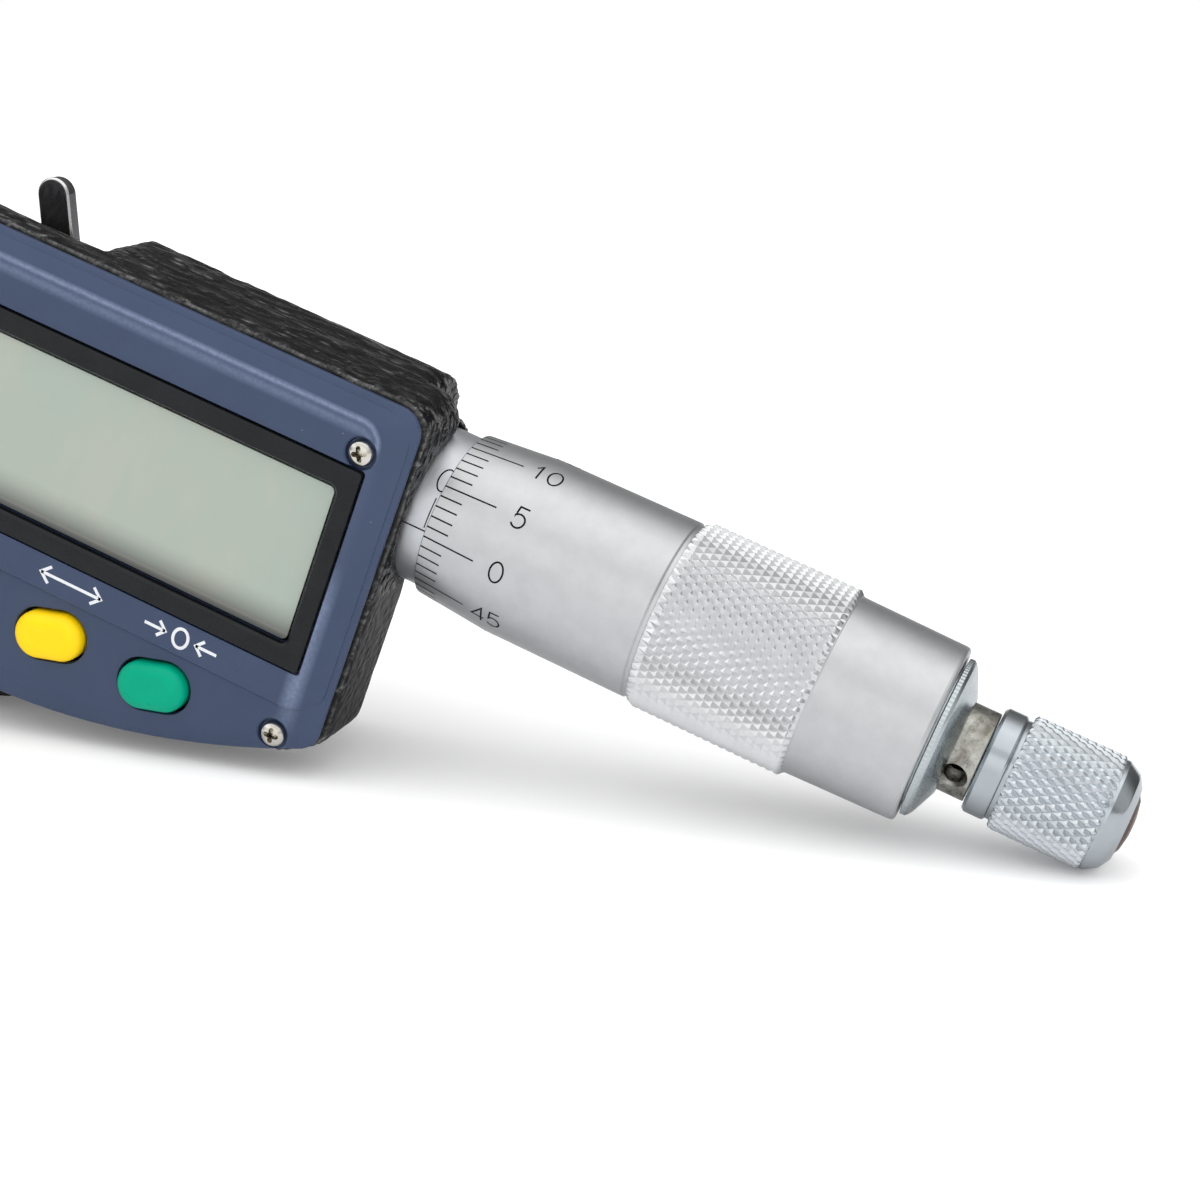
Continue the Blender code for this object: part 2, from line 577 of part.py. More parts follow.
def make_display():
    black = material("bezel_black", (0.015, 0.015, 0.017), 0.25)
    grey = material("lcd_grey", (0.42, 0.47, 0.40), 0.3)
    bezel = extruded("display_bezel", rectangle(*BEZEL, 0.3, 1), LEDGE + GAP, PANEL_TOP + 0.25, black)
    opening = extruded("bezel_opening", rectangle(*VIEW, 0.8, 2), LEDGE - 1, PANEL_TOP + 2, black)
    cut(bezel, opening)
    extruded("lcd_module", rectangle(VIEW[0] + GAP, VIEW[1] - GAP, VIEW[2] + GAP, VIEW[3] - GAP, 0.5, 1),
             8.5, PANEL_TOP - 0.4, grey)


def make_electronics():
    green = material("circuit_green", (0.02, 0.12, 0.05), 0.5)
    rubber = material("button_rubber", (0.05, 0.05, 0.05), 0.8)
    extruded("circuit_board", rectangle(41.0, 85.2, -22.6, 7.4, 1.0, 2), 7.1, 8.1, green)
    extruded("button_pad", rectangle(47.0, 79.5, -27.2, -23.1, 1.0, 2), 7.1, 8.2, rubber)


def make_buttons():
    for name, x, colour in BUTTONS:
        look = material(name + "_plastic", colour, 0.4)
        axis = joint_empty(name + "_axis", (x, BUTTON_Y, PANEL_LOW))
        cap = extruded(name, obround(BUTTON_LENGTH, BUTTON_WIDTH, (x, BUTTON_Y), BUTTON_TILT, 8),
                       9.3, PANEL_LOW + 1.4, look)
        bevel(cap, 0.5, 2)
        carried(cap, axis)


# ---------------------------------------------------------------- battery

def make_battery(cap_axis):
    nickel = material("nickel", (0.62, 0.60, 0.55), 0.22, 1.0)
    rubber = material("button_rubber", (0.05, 0.05, 0.05), 0.8)
    black = material("cap_black", (0.02, 0.02, 0.02), 0.5)
    place = (BATTERY_X, BATTERY_Y)
    turned("battery", [(-1.7, 0), (-1.7, 5.0), (-2.1, BATTERY_R), (-6.7, BATTERY_R), (-6.9, BATTERY_R - 0.2),
                       (-6.9, 0)], nickel, 28, "Z", place)
    cylinder("battery_contact", -1.4, -0.9, 3.0, nickel, 20, "Z", place)
    seal = ring("battery_seal", -7.9, -7.3, 5.8, 4.8, rubber, 28, "Z", place)
    cap = cylinder("battery_cap", BACK, -8.3, 7.3, black, 32, "Z", place)
    slot = box("coin_slot", (BATTERY_X - 4.5, BATTERY_Y - 0.7, BACK - 1),
               (BATTERY_X + 4.5, BATTERY_Y + 0.7, BACK + 0.7), black)
    cut(cap, slot)
    for made in (seal, cap):
        carried(made, cap_axis)


def main():
    start_scene()
    spin = joint_empty("spin_axis", (CAVITY_START, 0, 0))
    travel = joint_empty("travel_axis", (THIMBLE_START, 0, 0))
    knob_axis = joint_empty("knob_axis", (THIMBLE_START + 60, 0, 0))
    lock_axis = joint_empty("lock_axis", (LOCK_X, 0, LEVER_BACK))
    cap_axis = joint_empty("battery_cap_axis", (BATTERY_X, BATTERY_Y, BACK))
    make_frame()
    make_measuring_faces()
    make_spindle(travel)
    make_sleeve()
    make_encoder(spin)
    make_thimble(travel)
    make_ratchet(travel, knob_axis)
    make_lock(lock_axis)
    make_panel()
    make_panel_screws()
    make_display()
    make_electronics()
    make_buttons()
    make_battery(cap_axis)
    for made in PARTS.objects:
        if made.type == "MESH":
            smooth(made)


main()
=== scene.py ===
"""Digital outside micrometer, dressed for rendering on its CAD frame.

Dimensions are millimetres measured from the anvil's face along the spindle's axis, as in
the CAD source; place() carries them to the row frame, whose origin is on the flat back.
"""
import json
import math

import bmesh
import bpy
import numpy as np
from mathutils import Matrix, Vector, noise

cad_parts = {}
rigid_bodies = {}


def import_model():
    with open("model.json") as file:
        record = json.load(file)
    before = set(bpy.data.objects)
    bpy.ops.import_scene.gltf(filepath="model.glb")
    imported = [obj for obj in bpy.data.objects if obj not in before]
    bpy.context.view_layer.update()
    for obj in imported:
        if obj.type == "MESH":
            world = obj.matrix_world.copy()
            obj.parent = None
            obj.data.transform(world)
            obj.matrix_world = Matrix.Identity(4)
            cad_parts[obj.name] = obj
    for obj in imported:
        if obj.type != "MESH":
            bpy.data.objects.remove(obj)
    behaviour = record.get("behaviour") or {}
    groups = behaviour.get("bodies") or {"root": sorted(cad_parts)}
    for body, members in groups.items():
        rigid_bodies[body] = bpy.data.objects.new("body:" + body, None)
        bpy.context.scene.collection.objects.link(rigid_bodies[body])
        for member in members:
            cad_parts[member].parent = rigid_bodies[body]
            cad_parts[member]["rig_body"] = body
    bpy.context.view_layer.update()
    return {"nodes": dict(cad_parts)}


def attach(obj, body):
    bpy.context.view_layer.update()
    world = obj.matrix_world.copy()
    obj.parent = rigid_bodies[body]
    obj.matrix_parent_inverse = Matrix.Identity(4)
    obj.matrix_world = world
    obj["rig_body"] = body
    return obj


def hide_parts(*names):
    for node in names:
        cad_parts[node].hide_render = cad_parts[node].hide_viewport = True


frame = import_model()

MM = 0.001
OFFSET = Vector((-73.0, 0.0, 9.6))
NODES = frame["nodes"]
SCENE = bpy.context.scene

# The housing and its panel. Boxes are left, right, bottom, top.
HOUSING = (33.2, 92.8)
HOUSING_TOP = 11.5
PANEL_LOW, PANEL_TOP = 10.8, 11.3
BEZEL = (37.6, 88.6, -17.2, 3.9)
VIEW = (39.4, 86.7, -15.1, 1.7)
SCREWS = ((87.7, 5.6), (38.3, 5.6), (88.0, -24.4), (38.3, -28.0))
BUTTONS = (("button_on_off", 51.4), ("button_units", 63.2), ("button_zero", 75.0))
BUTTON_Y, BUTTON_TILT = -25.3, 17.0
BUTTON_LENGTH, BUTTON_WIDTH = 7.3, 4.8
PLATEAU_BOTTOM = -21.4
CHIN_LOW, CHIN_CENTRE, CHIN_RADIUS = -34.4, 54.0, 75.0

# The lock lever and the battery cap on the back.
LOCK_X, LOCK_ANGLE = 46.5, 23.0
BATTERY = (66.0, -20.0)

# The sleeve and the thimble. RIM is the thimble's graduated edge.
RIM = 95.0
SLEEVE_R = 7.7
CONE_LENGTH, CONE_START_R, CONE_END_R, BARREL_R = 7.5, 8.25, 8.92, 9.0
MARK_LIFT = 0.012

# A ramp's colours end at 1, so the sky's levels are held in it divided by RAMP_TOP.
RAMP_TOP = 3.0

# The table passes TABLE_DROP under the frame at TABLE_UNDER; its half side is in metres.
TABLE_UP = Vector((-0.3052, 0.9523, 0.0)).normalized()
TABLE_UNDER, TABLE_DROP, TABLE_SIZE = 22.0, 25.8, 1.6


def place(point):
    """A CAD point in millimetres, in the row frame's metres."""
    return (Vector(point) + OFFSET) * MM


# ---------------------------------------------------------------- shapes

def thing(points, faces):
    """A linked object of points in millimetres, its faces turned outward."""
    mesh = bpy.data.meshes.new("shape")
    mesh.from_pydata([place(p) for p in points], [], faces)
    made = bpy.data.objects.new("shape", mesh)
    SCENE.collection.objects.link(made)
    work = bmesh.new()
    work.from_mesh(mesh)
    bmesh.ops.recalc_face_normals(work, faces=work.faces)
    work.to_mesh(mesh)
    work.free()
    return made


def baked(made):
    """Make an object's modifiers part of its mesh."""
    graph = bpy.context.evaluated_depsgraph_get()
    mesh = bpy.data.meshes.new_from_object(made.evaluated_get(graph))
    made.modifiers.clear()
    made.data = mesh
    return made


def bevelled(made, width, steps=3, angle=35.0):
    modifier = made.modifiers.new("bevel", "BEVEL")
    modifier.width = width * MM
    modifier.segments = steps
    modifier.limit_method = "ANGLE"
    modifier.angle_limit = math.radians(angle)
    return baked(made)


def combined(made, *others, how="DIFFERENCE"):
    for other in others:
        modifier = made.modifiers.new("combine", "BOOLEAN")
        modifier.operation = how
        modifier.object = other
    baked(made)
    for other in others:
        bpy.data.objects.remove(other, do_unlink=True)
    return made


def prism(outline, low, high, bevel=0.0, steps=3, along="Z"):
    count = len(outline)
    if along == "X":
        points = [(z, x, y) for z in (low, high) for x, y in outline]
    else:
        points = [(x, y, z) for z in (low, high) for x, y in outline]
    faces = [tuple(range(count))[::-1], tuple(range(count, 2 * count))]
    faces += [(i, (i + 1) % count, count + (i + 1) % count, count + i) for i in range(count)]
    made = thing(points, faces)
    return bevelled(made, bevel, steps) if bevel else made


def stacked(levels):
    """A solid through outlines of one point count, each given with its height."""
    count = len(levels[0][1])
    points = [(x, y, z) for z, outline in levels for x, y in outline]
    faces = [tuple(range(count))[::-1]]
    for level in range(len(levels) - 1):
        a, b = level * count, (level + 1) * count
        faces += [(a + i, a + (i + 1) % count, b + (i + 1) % count, b + i) for i in range(count)]
    faces.append(tuple(range(len(points) - count, len(points))))
    return thing(points, faces)


def softened(points, radius, closed=False, steps=3):
    """Round each clear corner of a 2D line."""
    made = []
    for i, corner in enumerate(points):
        here = Vector(corner)
        if not closed and i in (0, len(points) - 1):
            made.append(tuple(here))
            continue
        back = Vector(points[i - 1]) - here
        ahead = Vector(points[(i + 1) % len(points)]) - here
        turn = math.pi - back.angle(ahead)
        if turn < 0.2:
            made.append(tuple(here))
            continue
        reach = min(radius * math.tan(turn / 2), 0.45 * back.length, 0.45 * ahead.length)
        first, last = here + back.normalized() * reach, here + ahead.normalized() * reach
        for step in range(steps + 1):
            t = step / steps
            point = first * (1 - t) ** 2 + here * (2 * t * (1 - t)) + last * t ** 2
            made.append(tuple(point))
    return made


def turned(profile, count=96, edge=0.08, along="X", centre=(0.0, 0.0), wave=None):
    """Turn a profile of (place along, radius) about X, or about Z at centre.

    A profile that starts and ends at radius 0 is solid, any other closes on itself. wave
    gives a change of radius for a place and a segment number.
    """
    solid = profile[0][1] == 0
    line = softened(profile, edge, closed=not solid)
    points, rows = [], []
    for at, radius in line:
        if radius < 1e-9:
            rows.append([len(points)])
            points.append((at, 0.0, 0.0) if along == "X" else (centre[0], centre[1], at))
            continue
        row = []
        for i in range(count):
            a = 2 * math.pi * i / count
            r = radius + (wave(at, i) if wave else 0.0)
            row.append(len(points))
            if along == "X":
                points.append((at, r * math.sin(a), r * math.cos(a)))
            else:
                points.append((centre[0] + r * math.cos(a), centre[1] + r * math.sin(a), at))
        rows.append(row)
    faces = []
    pairs = list(zip(rows, rows[1:])) + ([] if solid else [(rows[-1], rows[0])])
    for one, two in pairs:
        for i in range(count):
            j = (i + 1) % count
            if len(one) == 1 and len(two) == 1:
                continue
            if len(one) == 1:
                faces.append((one[0], two[j], two[i]))
            elif len(two) == 1:
                faces.append((one[i], one[j], two[0]))
            else:
                faces.append((one[i], one[j], two[j], two[i]))
    return thing(points, faces)


def knurled(start, end, count, pitch, peak, root, shallow=0.0, top=0.3, ends=0.3):
    """Pyramids between two hands of grooves round X, cut off cleanly at both ends.

    shallow is how far the second hand's grooves stop short of the full depth, 0 to 1.
    """
    points, faces = [], []
    depth = peak - root
    rows = int((end - start) * pitch * 2) + 3
    for m in range(-1, rows):
        for i in range(count):
            a0, b0 = i + m, i
            corners = [(a0, b0, 0), (a0 + 0.5, b0, shallow), (a0 + 1, b0, 0), (a0 + 1, b0 + 0.5, 0),
                       (a0 + 1, b0 + 1, 0), (a0 + 0.5, b0 + 1, shallow), (a0, b0 + 1, 0),
                        (a0, b0 + 0.5, 0)]
            middle = (a0 + 0.5, b0 + 0.5)
            inner = [(middle[0] + (a - middle[0]) * top, middle[1] + (b - middle[1]) * top, 1)
                     for a, b, _ in corners]
            first = len(points)
            lowest, highest = 1e9, -1e9
            for a, b, h in corners + inner:
                x = start + (a - b) / (2 * pitch)
                angle = math.pi * (a + b) / count
                clear = min(x - start, end - x)
                x = min(max(x, start), end)
                lowest, highest = min(lowest, x), max(highest, x)
                reach = min(max(clear / ends, -0.3), 1.0)
                r = min(root + depth * h, root + depth * reach)
                points.append((x, r * math.sin(angle), r * math.cos(angle)))
            if highest - lowest < 1e-6:
                del points[first:]
                continue
            ring = list(range(first, first + 8))
            crown = list(range(first + 8, first + 16))
            faces += [(ring[k], ring[(k + 1) % 8], crown[(k + 1) % 8], crown[k]) for k in range(8)]
            faces.append(tuple(crown))
    made = thing(points, faces)
    work = bmesh.new()
    work.from_mesh(made.data)
    bmesh.ops.remove_doubles(work, verts=work.verts, dist=2e-6)
    bmesh.ops.dissolve_degenerate(work, edges=work.edges, dist=1e-6)
    bmesh.ops.recalc_face_normals(work, faces=work.faces)
    outward = 0.0
    for face in work.faces:
        middle = face.calc_center_median()
        outward += (middle - place((middle.x / MM - OFFSET.x, 0, 0))).dot(face.normal)
    if outward < 0:
        bmesh.ops.reverse_faces(work, faces=work.faces)
    work.to_mesh(made.data)
    work.free()
    return made


def arc(centre, radius, start, end, steps):
    angles = [math.radians(start + (end - start) * i / steps) for i in range(steps + 1)]
    return [(centre[0] + radius * math.cos(a), centre[1] + radius * math.sin(a)) for a in angles]


def rounded(corners, steps=8):
    """Round the corners of a counterclockwise outline, each given as (x, y, radius)."""
    points = []
    for i, (x, y, radius) in enumerate(corners):
        here = Vector((x, y))
        back = (Vector(corners[i - 1][:2]) - here).normalized()
        ahead = (Vector(corners[(i + 1) % len(corners)][:2]) - here).normalized()
        if radius == 0:
            points.append((x, y))
            continue
        half = back.angle(ahead) / 2
        reach = radius / math.tan(half)
        first, last = here + back * reach, here + ahead * reach
        centre = here + (back + ahead).normalized() * (radius / math.sin(half))
        start = math.atan2(first.y - centre.y, first.x - centre.x)
        turn = math.atan2(last.y - centre.y, last.x - centre.x) - start
        turn = (turn + math.pi) % (2 * math.pi) - math.pi
        for step in range(steps + 1):
            angle = start + turn * step / steps
            points.append((centre.x + radius * math.cos(angle),
                           centre.y + radius * math.sin(angle)))
    return points


def rectangle(left, right, bottom, top, radius, steps=8):
    return rounded([(left, bottom, radius), (right, bottom, radius), (right, top, radius),
                    (left, top, radius)], steps)


def obround(length, width, centre, tilt, steps=24):
    reach, radius = (length - width) / 2, width / 2
    points = arc((reach, 0), radius, -90, 90, steps) + arc((-reach, 0), radius, 90, 270, steps)
    turn = Matrix.Rotation(math.radians(tilt), 2)
    moved = [turn @ Vector(point) for point in points]
    return [(centre[0] + p.x, centre[1] + p.y) for p in moved]


def grown(box, by):
    """A (left, right, bottom, top) box with each side moved outward."""
    return box[0] - by, box[1] + by, box[2] - by, box[3] + by


def button_outline(x, more):
    """A button's obround at x, its length and width changed by more."""
    return obround(BUTTON_LENGTH + more, BUTTON_WIDTH + more, (x, BUTTON_Y), BUTTON_TILT)


def chin(x, inset=0.0):
    """The height of the housing's lower edge, a shallow curve."""
    return CHIN_LOW + inset + (x - CHIN_CENTRE) ** 2 / (2 * CHIN_RADIUS)


def housing_outline(inset, corner=3.0):
    left, right, top = HOUSING[0] + inset, HOUSING[1] - inset, HOUSING_TOP - inset
    radius = max(corner - inset, 1.0)
    steps = 24
    span = right - left - 2 * radius
    low = [(left + radius + span * i / steps, 0.0) for i in range(steps + 1)]
    bottom = [(x, chin(x, inset), 0.0) for x, _ in low]
    corners = [(left, chin(left, inset), radius)] + bottom[1:-1]
    corners += [(right, chin(right, inset), radius), (right, top, radius), (left, top, radius)]
    return rounded(corners)


# ---------------------------------------------------------------- materials

class Look:
    """A procedural material. Its place is the object's own coordinates in millimetres."""

    def __init__(self, name, colour, rough, metal=0.0, **fixed):
        self.material = bpy.data.materials.new(name)
        self.material.use_nodes = True
        self.tree = self.material.node_tree
        self.shader = self.tree.nodes["Principled BSDF"]
        self.put("Base Color", (*colour, 1.0))
        self.put("Roughness", rough)
        self.put("Metallic", metal)
        for key, value in fixed.items():
            self.put(key.replace("_", " "), value)
        scale = self.node("ShaderNodeVectorMath", operation="SCALE")
        self.tree.links.new(self.node("ShaderNodeTexCoord").outputs["Object"], scale.inputs[0])
        scale.inputs["Scale"].default_value = 1000.0
        self.place = scale.outputs[0]

    def node(self, kind, **settings):
        made = self.tree.nodes.new(kind)
        for key, value in settings.items():
            setattr(made, key, value)
        return made

    def feed(self, socket, value):
        if isinstance(value, bpy.types.NodeSocket):
            self.tree.links.new(value, socket)
        else:
            socket.default_value = value

    def put(self, name, value):
        self.feed(self.shader.inputs[name], value)

    def stretched(self, x, y, z, at=None):
        made = self.node("ShaderNodeVectorMath", operation="MULTIPLY")
        self.feed(made.inputs[0], at or self.place)
        made.inputs[1].default_value = (x, y, z)
        return made.outputs[0]

    def axis(self, which):
        made = self.node("ShaderNodeSeparateXYZ")
        self.feed(made.inputs[0], self.place)
        return made.outputs[which]

    def maths(self, how, one, two=0.0):
        made = self.node("ShaderNodeMath", operation=how)
        self.feed(made.inputs[0], one)
        self.feed(made.inputs[1], two)
        return made.outputs[0]

    def times(self, one, two):
        return self.maths("MULTIPLY", one, two)

    def off(self, value, middle):
        """How far a value is from a middle."""
        return self.maths("ABSOLUTE", self.maths("SUBTRACT", value, middle))

    def noise(self, scale, detail=3.0, rough=0.5, at=None, warp=0.0):
        made = self.node("ShaderNodeTexNoise")
        self.feed(made.inputs["Vector"], at or self.place)
        for key, value in (("Scale", scale), ("Detail", detail), ("Roughness", rough),
                           ("Distortion", warp)):
            made.inputs[key].default_value = value
        return made.outputs[0]

    def cells(self, scale, at=None):
        made = self.node("ShaderNodeTexVoronoi", feature="F1")
        self.feed(made.inputs["Vector"], at or self.place)
        made.inputs["Scale"].default_value = scale
        return made.outputs["Distance"]

    def spread(self, value, start, end, low=0.0, high=1.0):
        made = self.node("ShaderNodeMapRange")
        for key, given in (("Value", value), ("From Min", start), ("From Max", end),
                           ("To Min", low),
                           ("To Max", high)):
            self.feed(made.inputs[key], given)
        return made.outputs[0]

    def mixed(self, factor, one, two):
        made = self.node("ShaderNodeMix", data_type="RGBA")
        self.feed(made.inputs[0], factor)
        for socket, value in ((made.inputs[6], one), (made.inputs[7], two)):
            self.feed(socket, (*value, 1.0) if isinstance(value, tuple) else value)
        return made.outputs[2]

    def attribute(self, name):
        return self.node("ShaderNodeAttribute", attribute_name=name).outputs["Fac"]

    def bump(self, height, strength, depth, under=None):
        made = self.node("ShaderNodeBump")
        made.inputs["Strength"].default_value = strength
        made.inputs["Distance"].default_value = depth * MM
        self.feed(made.inputs["Height"], height)
        if under is not None:
            self.feed(made.inputs["Normal"], under)
        self.put("Normal", made.outputs[0])
        return made.outputs[0]


def metal(name, colour, rough, grain=9.0, lines=0.0, depth=0.004, dull=None, swing=0.07):
    """Turned, ground or blasted metal: faint cloudy sheen, fine grain, lathe lines round X."""
    look = Look(name, colour, rough, 1.0)
    cloud = look.noise(0.5, 4.0, 0.6)
    dark = dull or tuple(c * 0.93 for c in colour)
    look.put("Base Color", look.mixed(look.spread(cloud, 0.35, 0.7), tuple(colour), dark))
    smear = look.noise(1.8, 5.0, 0.7, at=look.stretched(1.0, 0.35, 0.35))
    look.put("Roughness", look.spread(smear, 0.3, 0.7, rough - swing, rough + swing))
    under = look.bump(look.noise(grain, 4.0, 0.6), 0.5, depth)
    if lines:
        round_x = look.stretched(1.0, 0.02, 0.02)
        look.bump(look.noise(lines, 2.0, 0.6, at=round_x), 0.5, depth, under)
    return look.material


def moulded(name, colour, rough, grain=6.0, depth=0.006, shade=0.75, shine=0.5):
    """Moulded plastic or rubber: slight mottling, pebbled surface and dust specks."""
    look = Look(name, colour, rough, 0.0, Specular_IOR_Level=shine)
    cloud = look.spread(look.noise(0.35, 4.0, 0.6), 0.35, 0.7)
    base = look.mixed(cloud, tuple(colour), tuple(c * shade for c in colour))
    speck = look.spread(look.cells(1.4), 0.03, 0.05, 0.5, 0.0)
    look.put("Base Color", look.mixed(speck, base, tuple(min(1.0, c + 0.12) for c in colour)))
    smear = look.noise(1.3, 4.0, 0.6)
    look.put("Roughness", look.spread(smear, 0.3, 0.7, rough - 0.07, rough + 0.09))
    look.bump(look.noise(grain, 3.0, 0.55), 0.6, depth)
    return look.material


def coated():
    """Glossy black wrinkle paint: long folds whose crests carry a painted highlight, and edges made
    greyer for paint wear and a painted highlight.
    """
    look = Look("frame_coating", (0.005, 0.005, 0.006), 0.3, 0.0, Specular_IOR_Level=0.16)
    edge, coat = look.attribute("edge"), look.attribute("coat")
    patch = look.spread(look.noise(0.35, 5.0, 0.65), 0.35, 0.65)
    along = look.stretched(0.42, 1.0, 1.0)
    scale = look.spread(look.cells(0.95, at=along), 0.05, 0.62, 1.0, 0.0)
    drift = look.spread(look.noise(0.5, 3.0, 0.6, at=along, warp=0.3), 0.35, 0.65)
    height = look.times(coat, look.maths("ADD", scale, look.times(drift, 0.6)))
    crest = look.spread(height, 0.85, 1.5)
    # Painted highlight on the fold crests, broken up by noise.
    crest_highlight = look.times(crest, look.spread(look.noise(0.7, 4.0, 0.7), 0.35, 0.65, 0.15, 0.75))
    # Paler convex edges: paint wear, and also a painted highlight along the rims.
    edge_wear_and_highlight = look.times(edge, look.spread(look.noise(2.2, 5.0, 0.7), 0.35, 0.62, 0.0, 0.8))
    wear_and_highlight = look.maths("MAXIMUM", crest_highlight, edge_wear_and_highlight)
    bare = look.mixed(patch, (0.012, 0.012, 0.013), (0.005, 0.005, 0.006))
    paint = look.mixed(patch, (0.0015, 0.0015, 0.0015), (0.004, 0.004, 0.005))
    base = look.mixed(coat, bare, paint)
    # The pale grey is the painted crest and rim highlight together with the edge wear.
    look.put("Base Color", look.mixed(wear_and_highlight, base, (0.27, 0.27, 0.275)))
    gloss = look.spread(look.noise(1.1, 4.0, 0.6), 0.3, 0.7, 0.14, 0.28)
    look.put("Roughness", look.spread(coat, 0.0, 1.0, 0.5, gloss))
    under = look.bump(height, 1.0, 0.3)
    look.bump(look.noise(6.0, 3.0, 0.6), 0.4, 0.01, under)
    return look.material


def panel_blue():
    """Satin blue plastic, with a painted highlight along the ridge round its raised part and down
    its right side.
    """
    look = Look("panel_blue", (0.035, 0.055, 0.11), 0.38, 0.0, Specular_IOR_Level=0.4)
    cloud = look.spread(look.noise(0.12, 4.0, 0.6), 0.3, 0.7)
    base = look.mixed(cloud, (0.031, 0.051, 0.106), (0.037, 0.058, 0.118))
    dust = look.spread(look.cells(0.55), 0.02, 0.045, 1.0, 0.0)
    dust = look.times(dust, look.spread(look.noise(0.3, 2.0), 0.5, 0.7))
    x, y = look.axis(0), look.axis(1)
    flat = look.node("ShaderNodeCombineXYZ")
    for socket, value, middle, half in ((0, x, -10.2, 24.2), (1, y, -40.0, 46.5)):
        far = look.maths("SUBTRACT", look.off(value, middle), half)
        look.feed(flat.inputs[socket], look.maths("MAXIMUM", far, 0.0))
    length = look.node("ShaderNodeVectorMath", operation="LENGTH")
    look.feed(length.inputs[0], flat.outputs[0])
    away = look.maths("SUBTRACT", length.outputs["Value"], 2.1)
    # Painted highlight: a bright line and a softer band along the ridge at the top, a wide band down
    # the right side.
    sharp = look.spread(look.off(away, 0.0), 0.0, 0.42, 1.0, 0.0)
    soft = look.spread(look.off(away, -0.85), 0.1, 0.75, 0.5, 0.0)
    top = look.spread(y, 4.5, 7.0)
    along = look.times(look.maths("MAXIMUM", sharp, soft), top)
    wide = look.spread(look.off(away, -0.3), 0.2, 1.25, 0.8, 0.0)
    wide = look.times(wide, look.spread(look.off(y, -14.5), 5.0, 9.5, 1.0, 0.12))
    side = look.times(wide, look.maths("SUBTRACT", 1.0, top))
    highlight_breakup = look.spread(look.noise(3.0, 4.0, 0.7), 0.3, 0.6, 0.55, 1.0)
    sheen = look.times(look.maths("MAXIMUM", along, side), highlight_breakup)
    # The paler blue is the painted highlight, broken up by noise.
    base = look.mixed(sheen, base, (0.17, 0.215, 0.33))
    look.put("Base Color", look.mixed(dust, base, (0.35, 0.38, 0.45)))
    look.put("Roughness", look.spread(look.noise(0.8, 5.0, 0.7), 0.3, 0.7, 0.3, 0.44))
    under = look.bump(look.noise(14.0, 3.0, 0.6), 0.35, 0.006)
    look.bump(look.noise(0.6, 3.0, 0.6), 0.15, 0.05, under)
    return look.material


def display():
    """Blank liquid crystal glass: grey-green, faintly mottled, with painted shade along its lower
    edge.
    """
    look = Look("lcd_grey", (0.31, 0.34, 0.29), 0.25, 0.0, Coat_Weight=0.4, Coat_Roughness=0.08)
    tint = look.spread(look.noise(0.16, 3.0, 0.6, at=look.stretched(1.0, 0.4, 1.0)), 0.35, 0.65)
    base = look.mixed(tint, (0.325, 0.385, 0.335), (0.36, 0.39, 0.335))
    y = look.axis(1)
    # Painted shade: darker towards the window's lower edge, where the bezel's wall shades the glass.
    shade = look.spread(y, VIEW[2] - 0.3, VIEW[2] + 4.2, 1.0, 0.0)
    shade = look.times(look.maths("POWER", shade, 1.5), 1.25)
    base = look.mixed(shade, base, (0.035, 0.035, 0.033))
    line = look.spread(look.off(y, VIEW[2] + 1.0), 0.08, 0.2, 0.7, 0.0)
    base = look.mixed(line, base, (0.16, 0.155, 0.14))
    look.put("Base Color", base)
    look.put("Roughness", look.spread(look.noise(0.8, 3.0), 0.3, 0.7, 0.22, 0.27))
    look.bump(look.noise(22.0, 2.0, 0.5), 0.1, 0.001)
    return look.material


def board(name, colour):
    """Circuit board lacquer with tracks and pads under it."""
    look = Look(name, colour, 0.35)
    tracks = look.node("ShaderNodeTexBrick", offset=0.37)
    look.feed(tracks.inputs["Vector"], look.place)
    for key, value in (("Scale", 0.45), ("Mortar Size", 0.06), ("Brick Width", 1.3),
                       ("Row Height", 0.5)):
        tracks.inputs[key].default_value = value
    pads = look.spread(look.cells(0.35), 0.1, 0.12, 1.0, 0.0)
    base = look.mixed(tracks.outputs["Fac"], colour, tuple(c * 1.9 for c in colour))
    look.put("Base Color", look.mixed(pads, base, (0.55, 0.42, 0.2)))
    look.put("Roughness", look.spread(look.noise(1.0, 3.0), 0.3, 0.7, 0.28, 0.42))
    look.bump(look.maths("ADD", tracks.outputs["Fac"], pads), 0.5, 0.03)
    return look.material


def weathered():
    """Neck of the ratchet: grey-gold steel with darker stains of oil and dust."""
    look = Look("neck_steel", (0.3, 0.27, 0.2), 0.4, 1.0)
    at = look.stretched(1.0, 0.7, 0.7)
    one = look.spread(look.noise(0.5, 5.0, 0.65, at=at, warp=0.4), 0.36, 0.62)
    two = look.spread(look.noise(1.4, 5.0, 0.7, at=at), 0.5, 0.72)
    base = look.mixed(one, (0.23, 0.22, 0.19), (0.53, 0.53, 0.49))
    look.put("Base Color", look.mixed(two, base, (0.13, 0.115, 0.09)))
    look.put("Roughness", look.spread(look.noise(1.7, 4.0, 0.7), 0.3, 0.7, 0.2, 0.45))
    under = look.bump(look.noise(5.0, 4.0, 0.7), 0.5, 0.02)
    look.bump(look.noise(12.0, 2.0, at=look.stretched(1.0, 0.02, 0.02)), 0.5, 0.008, under)
    return look.material


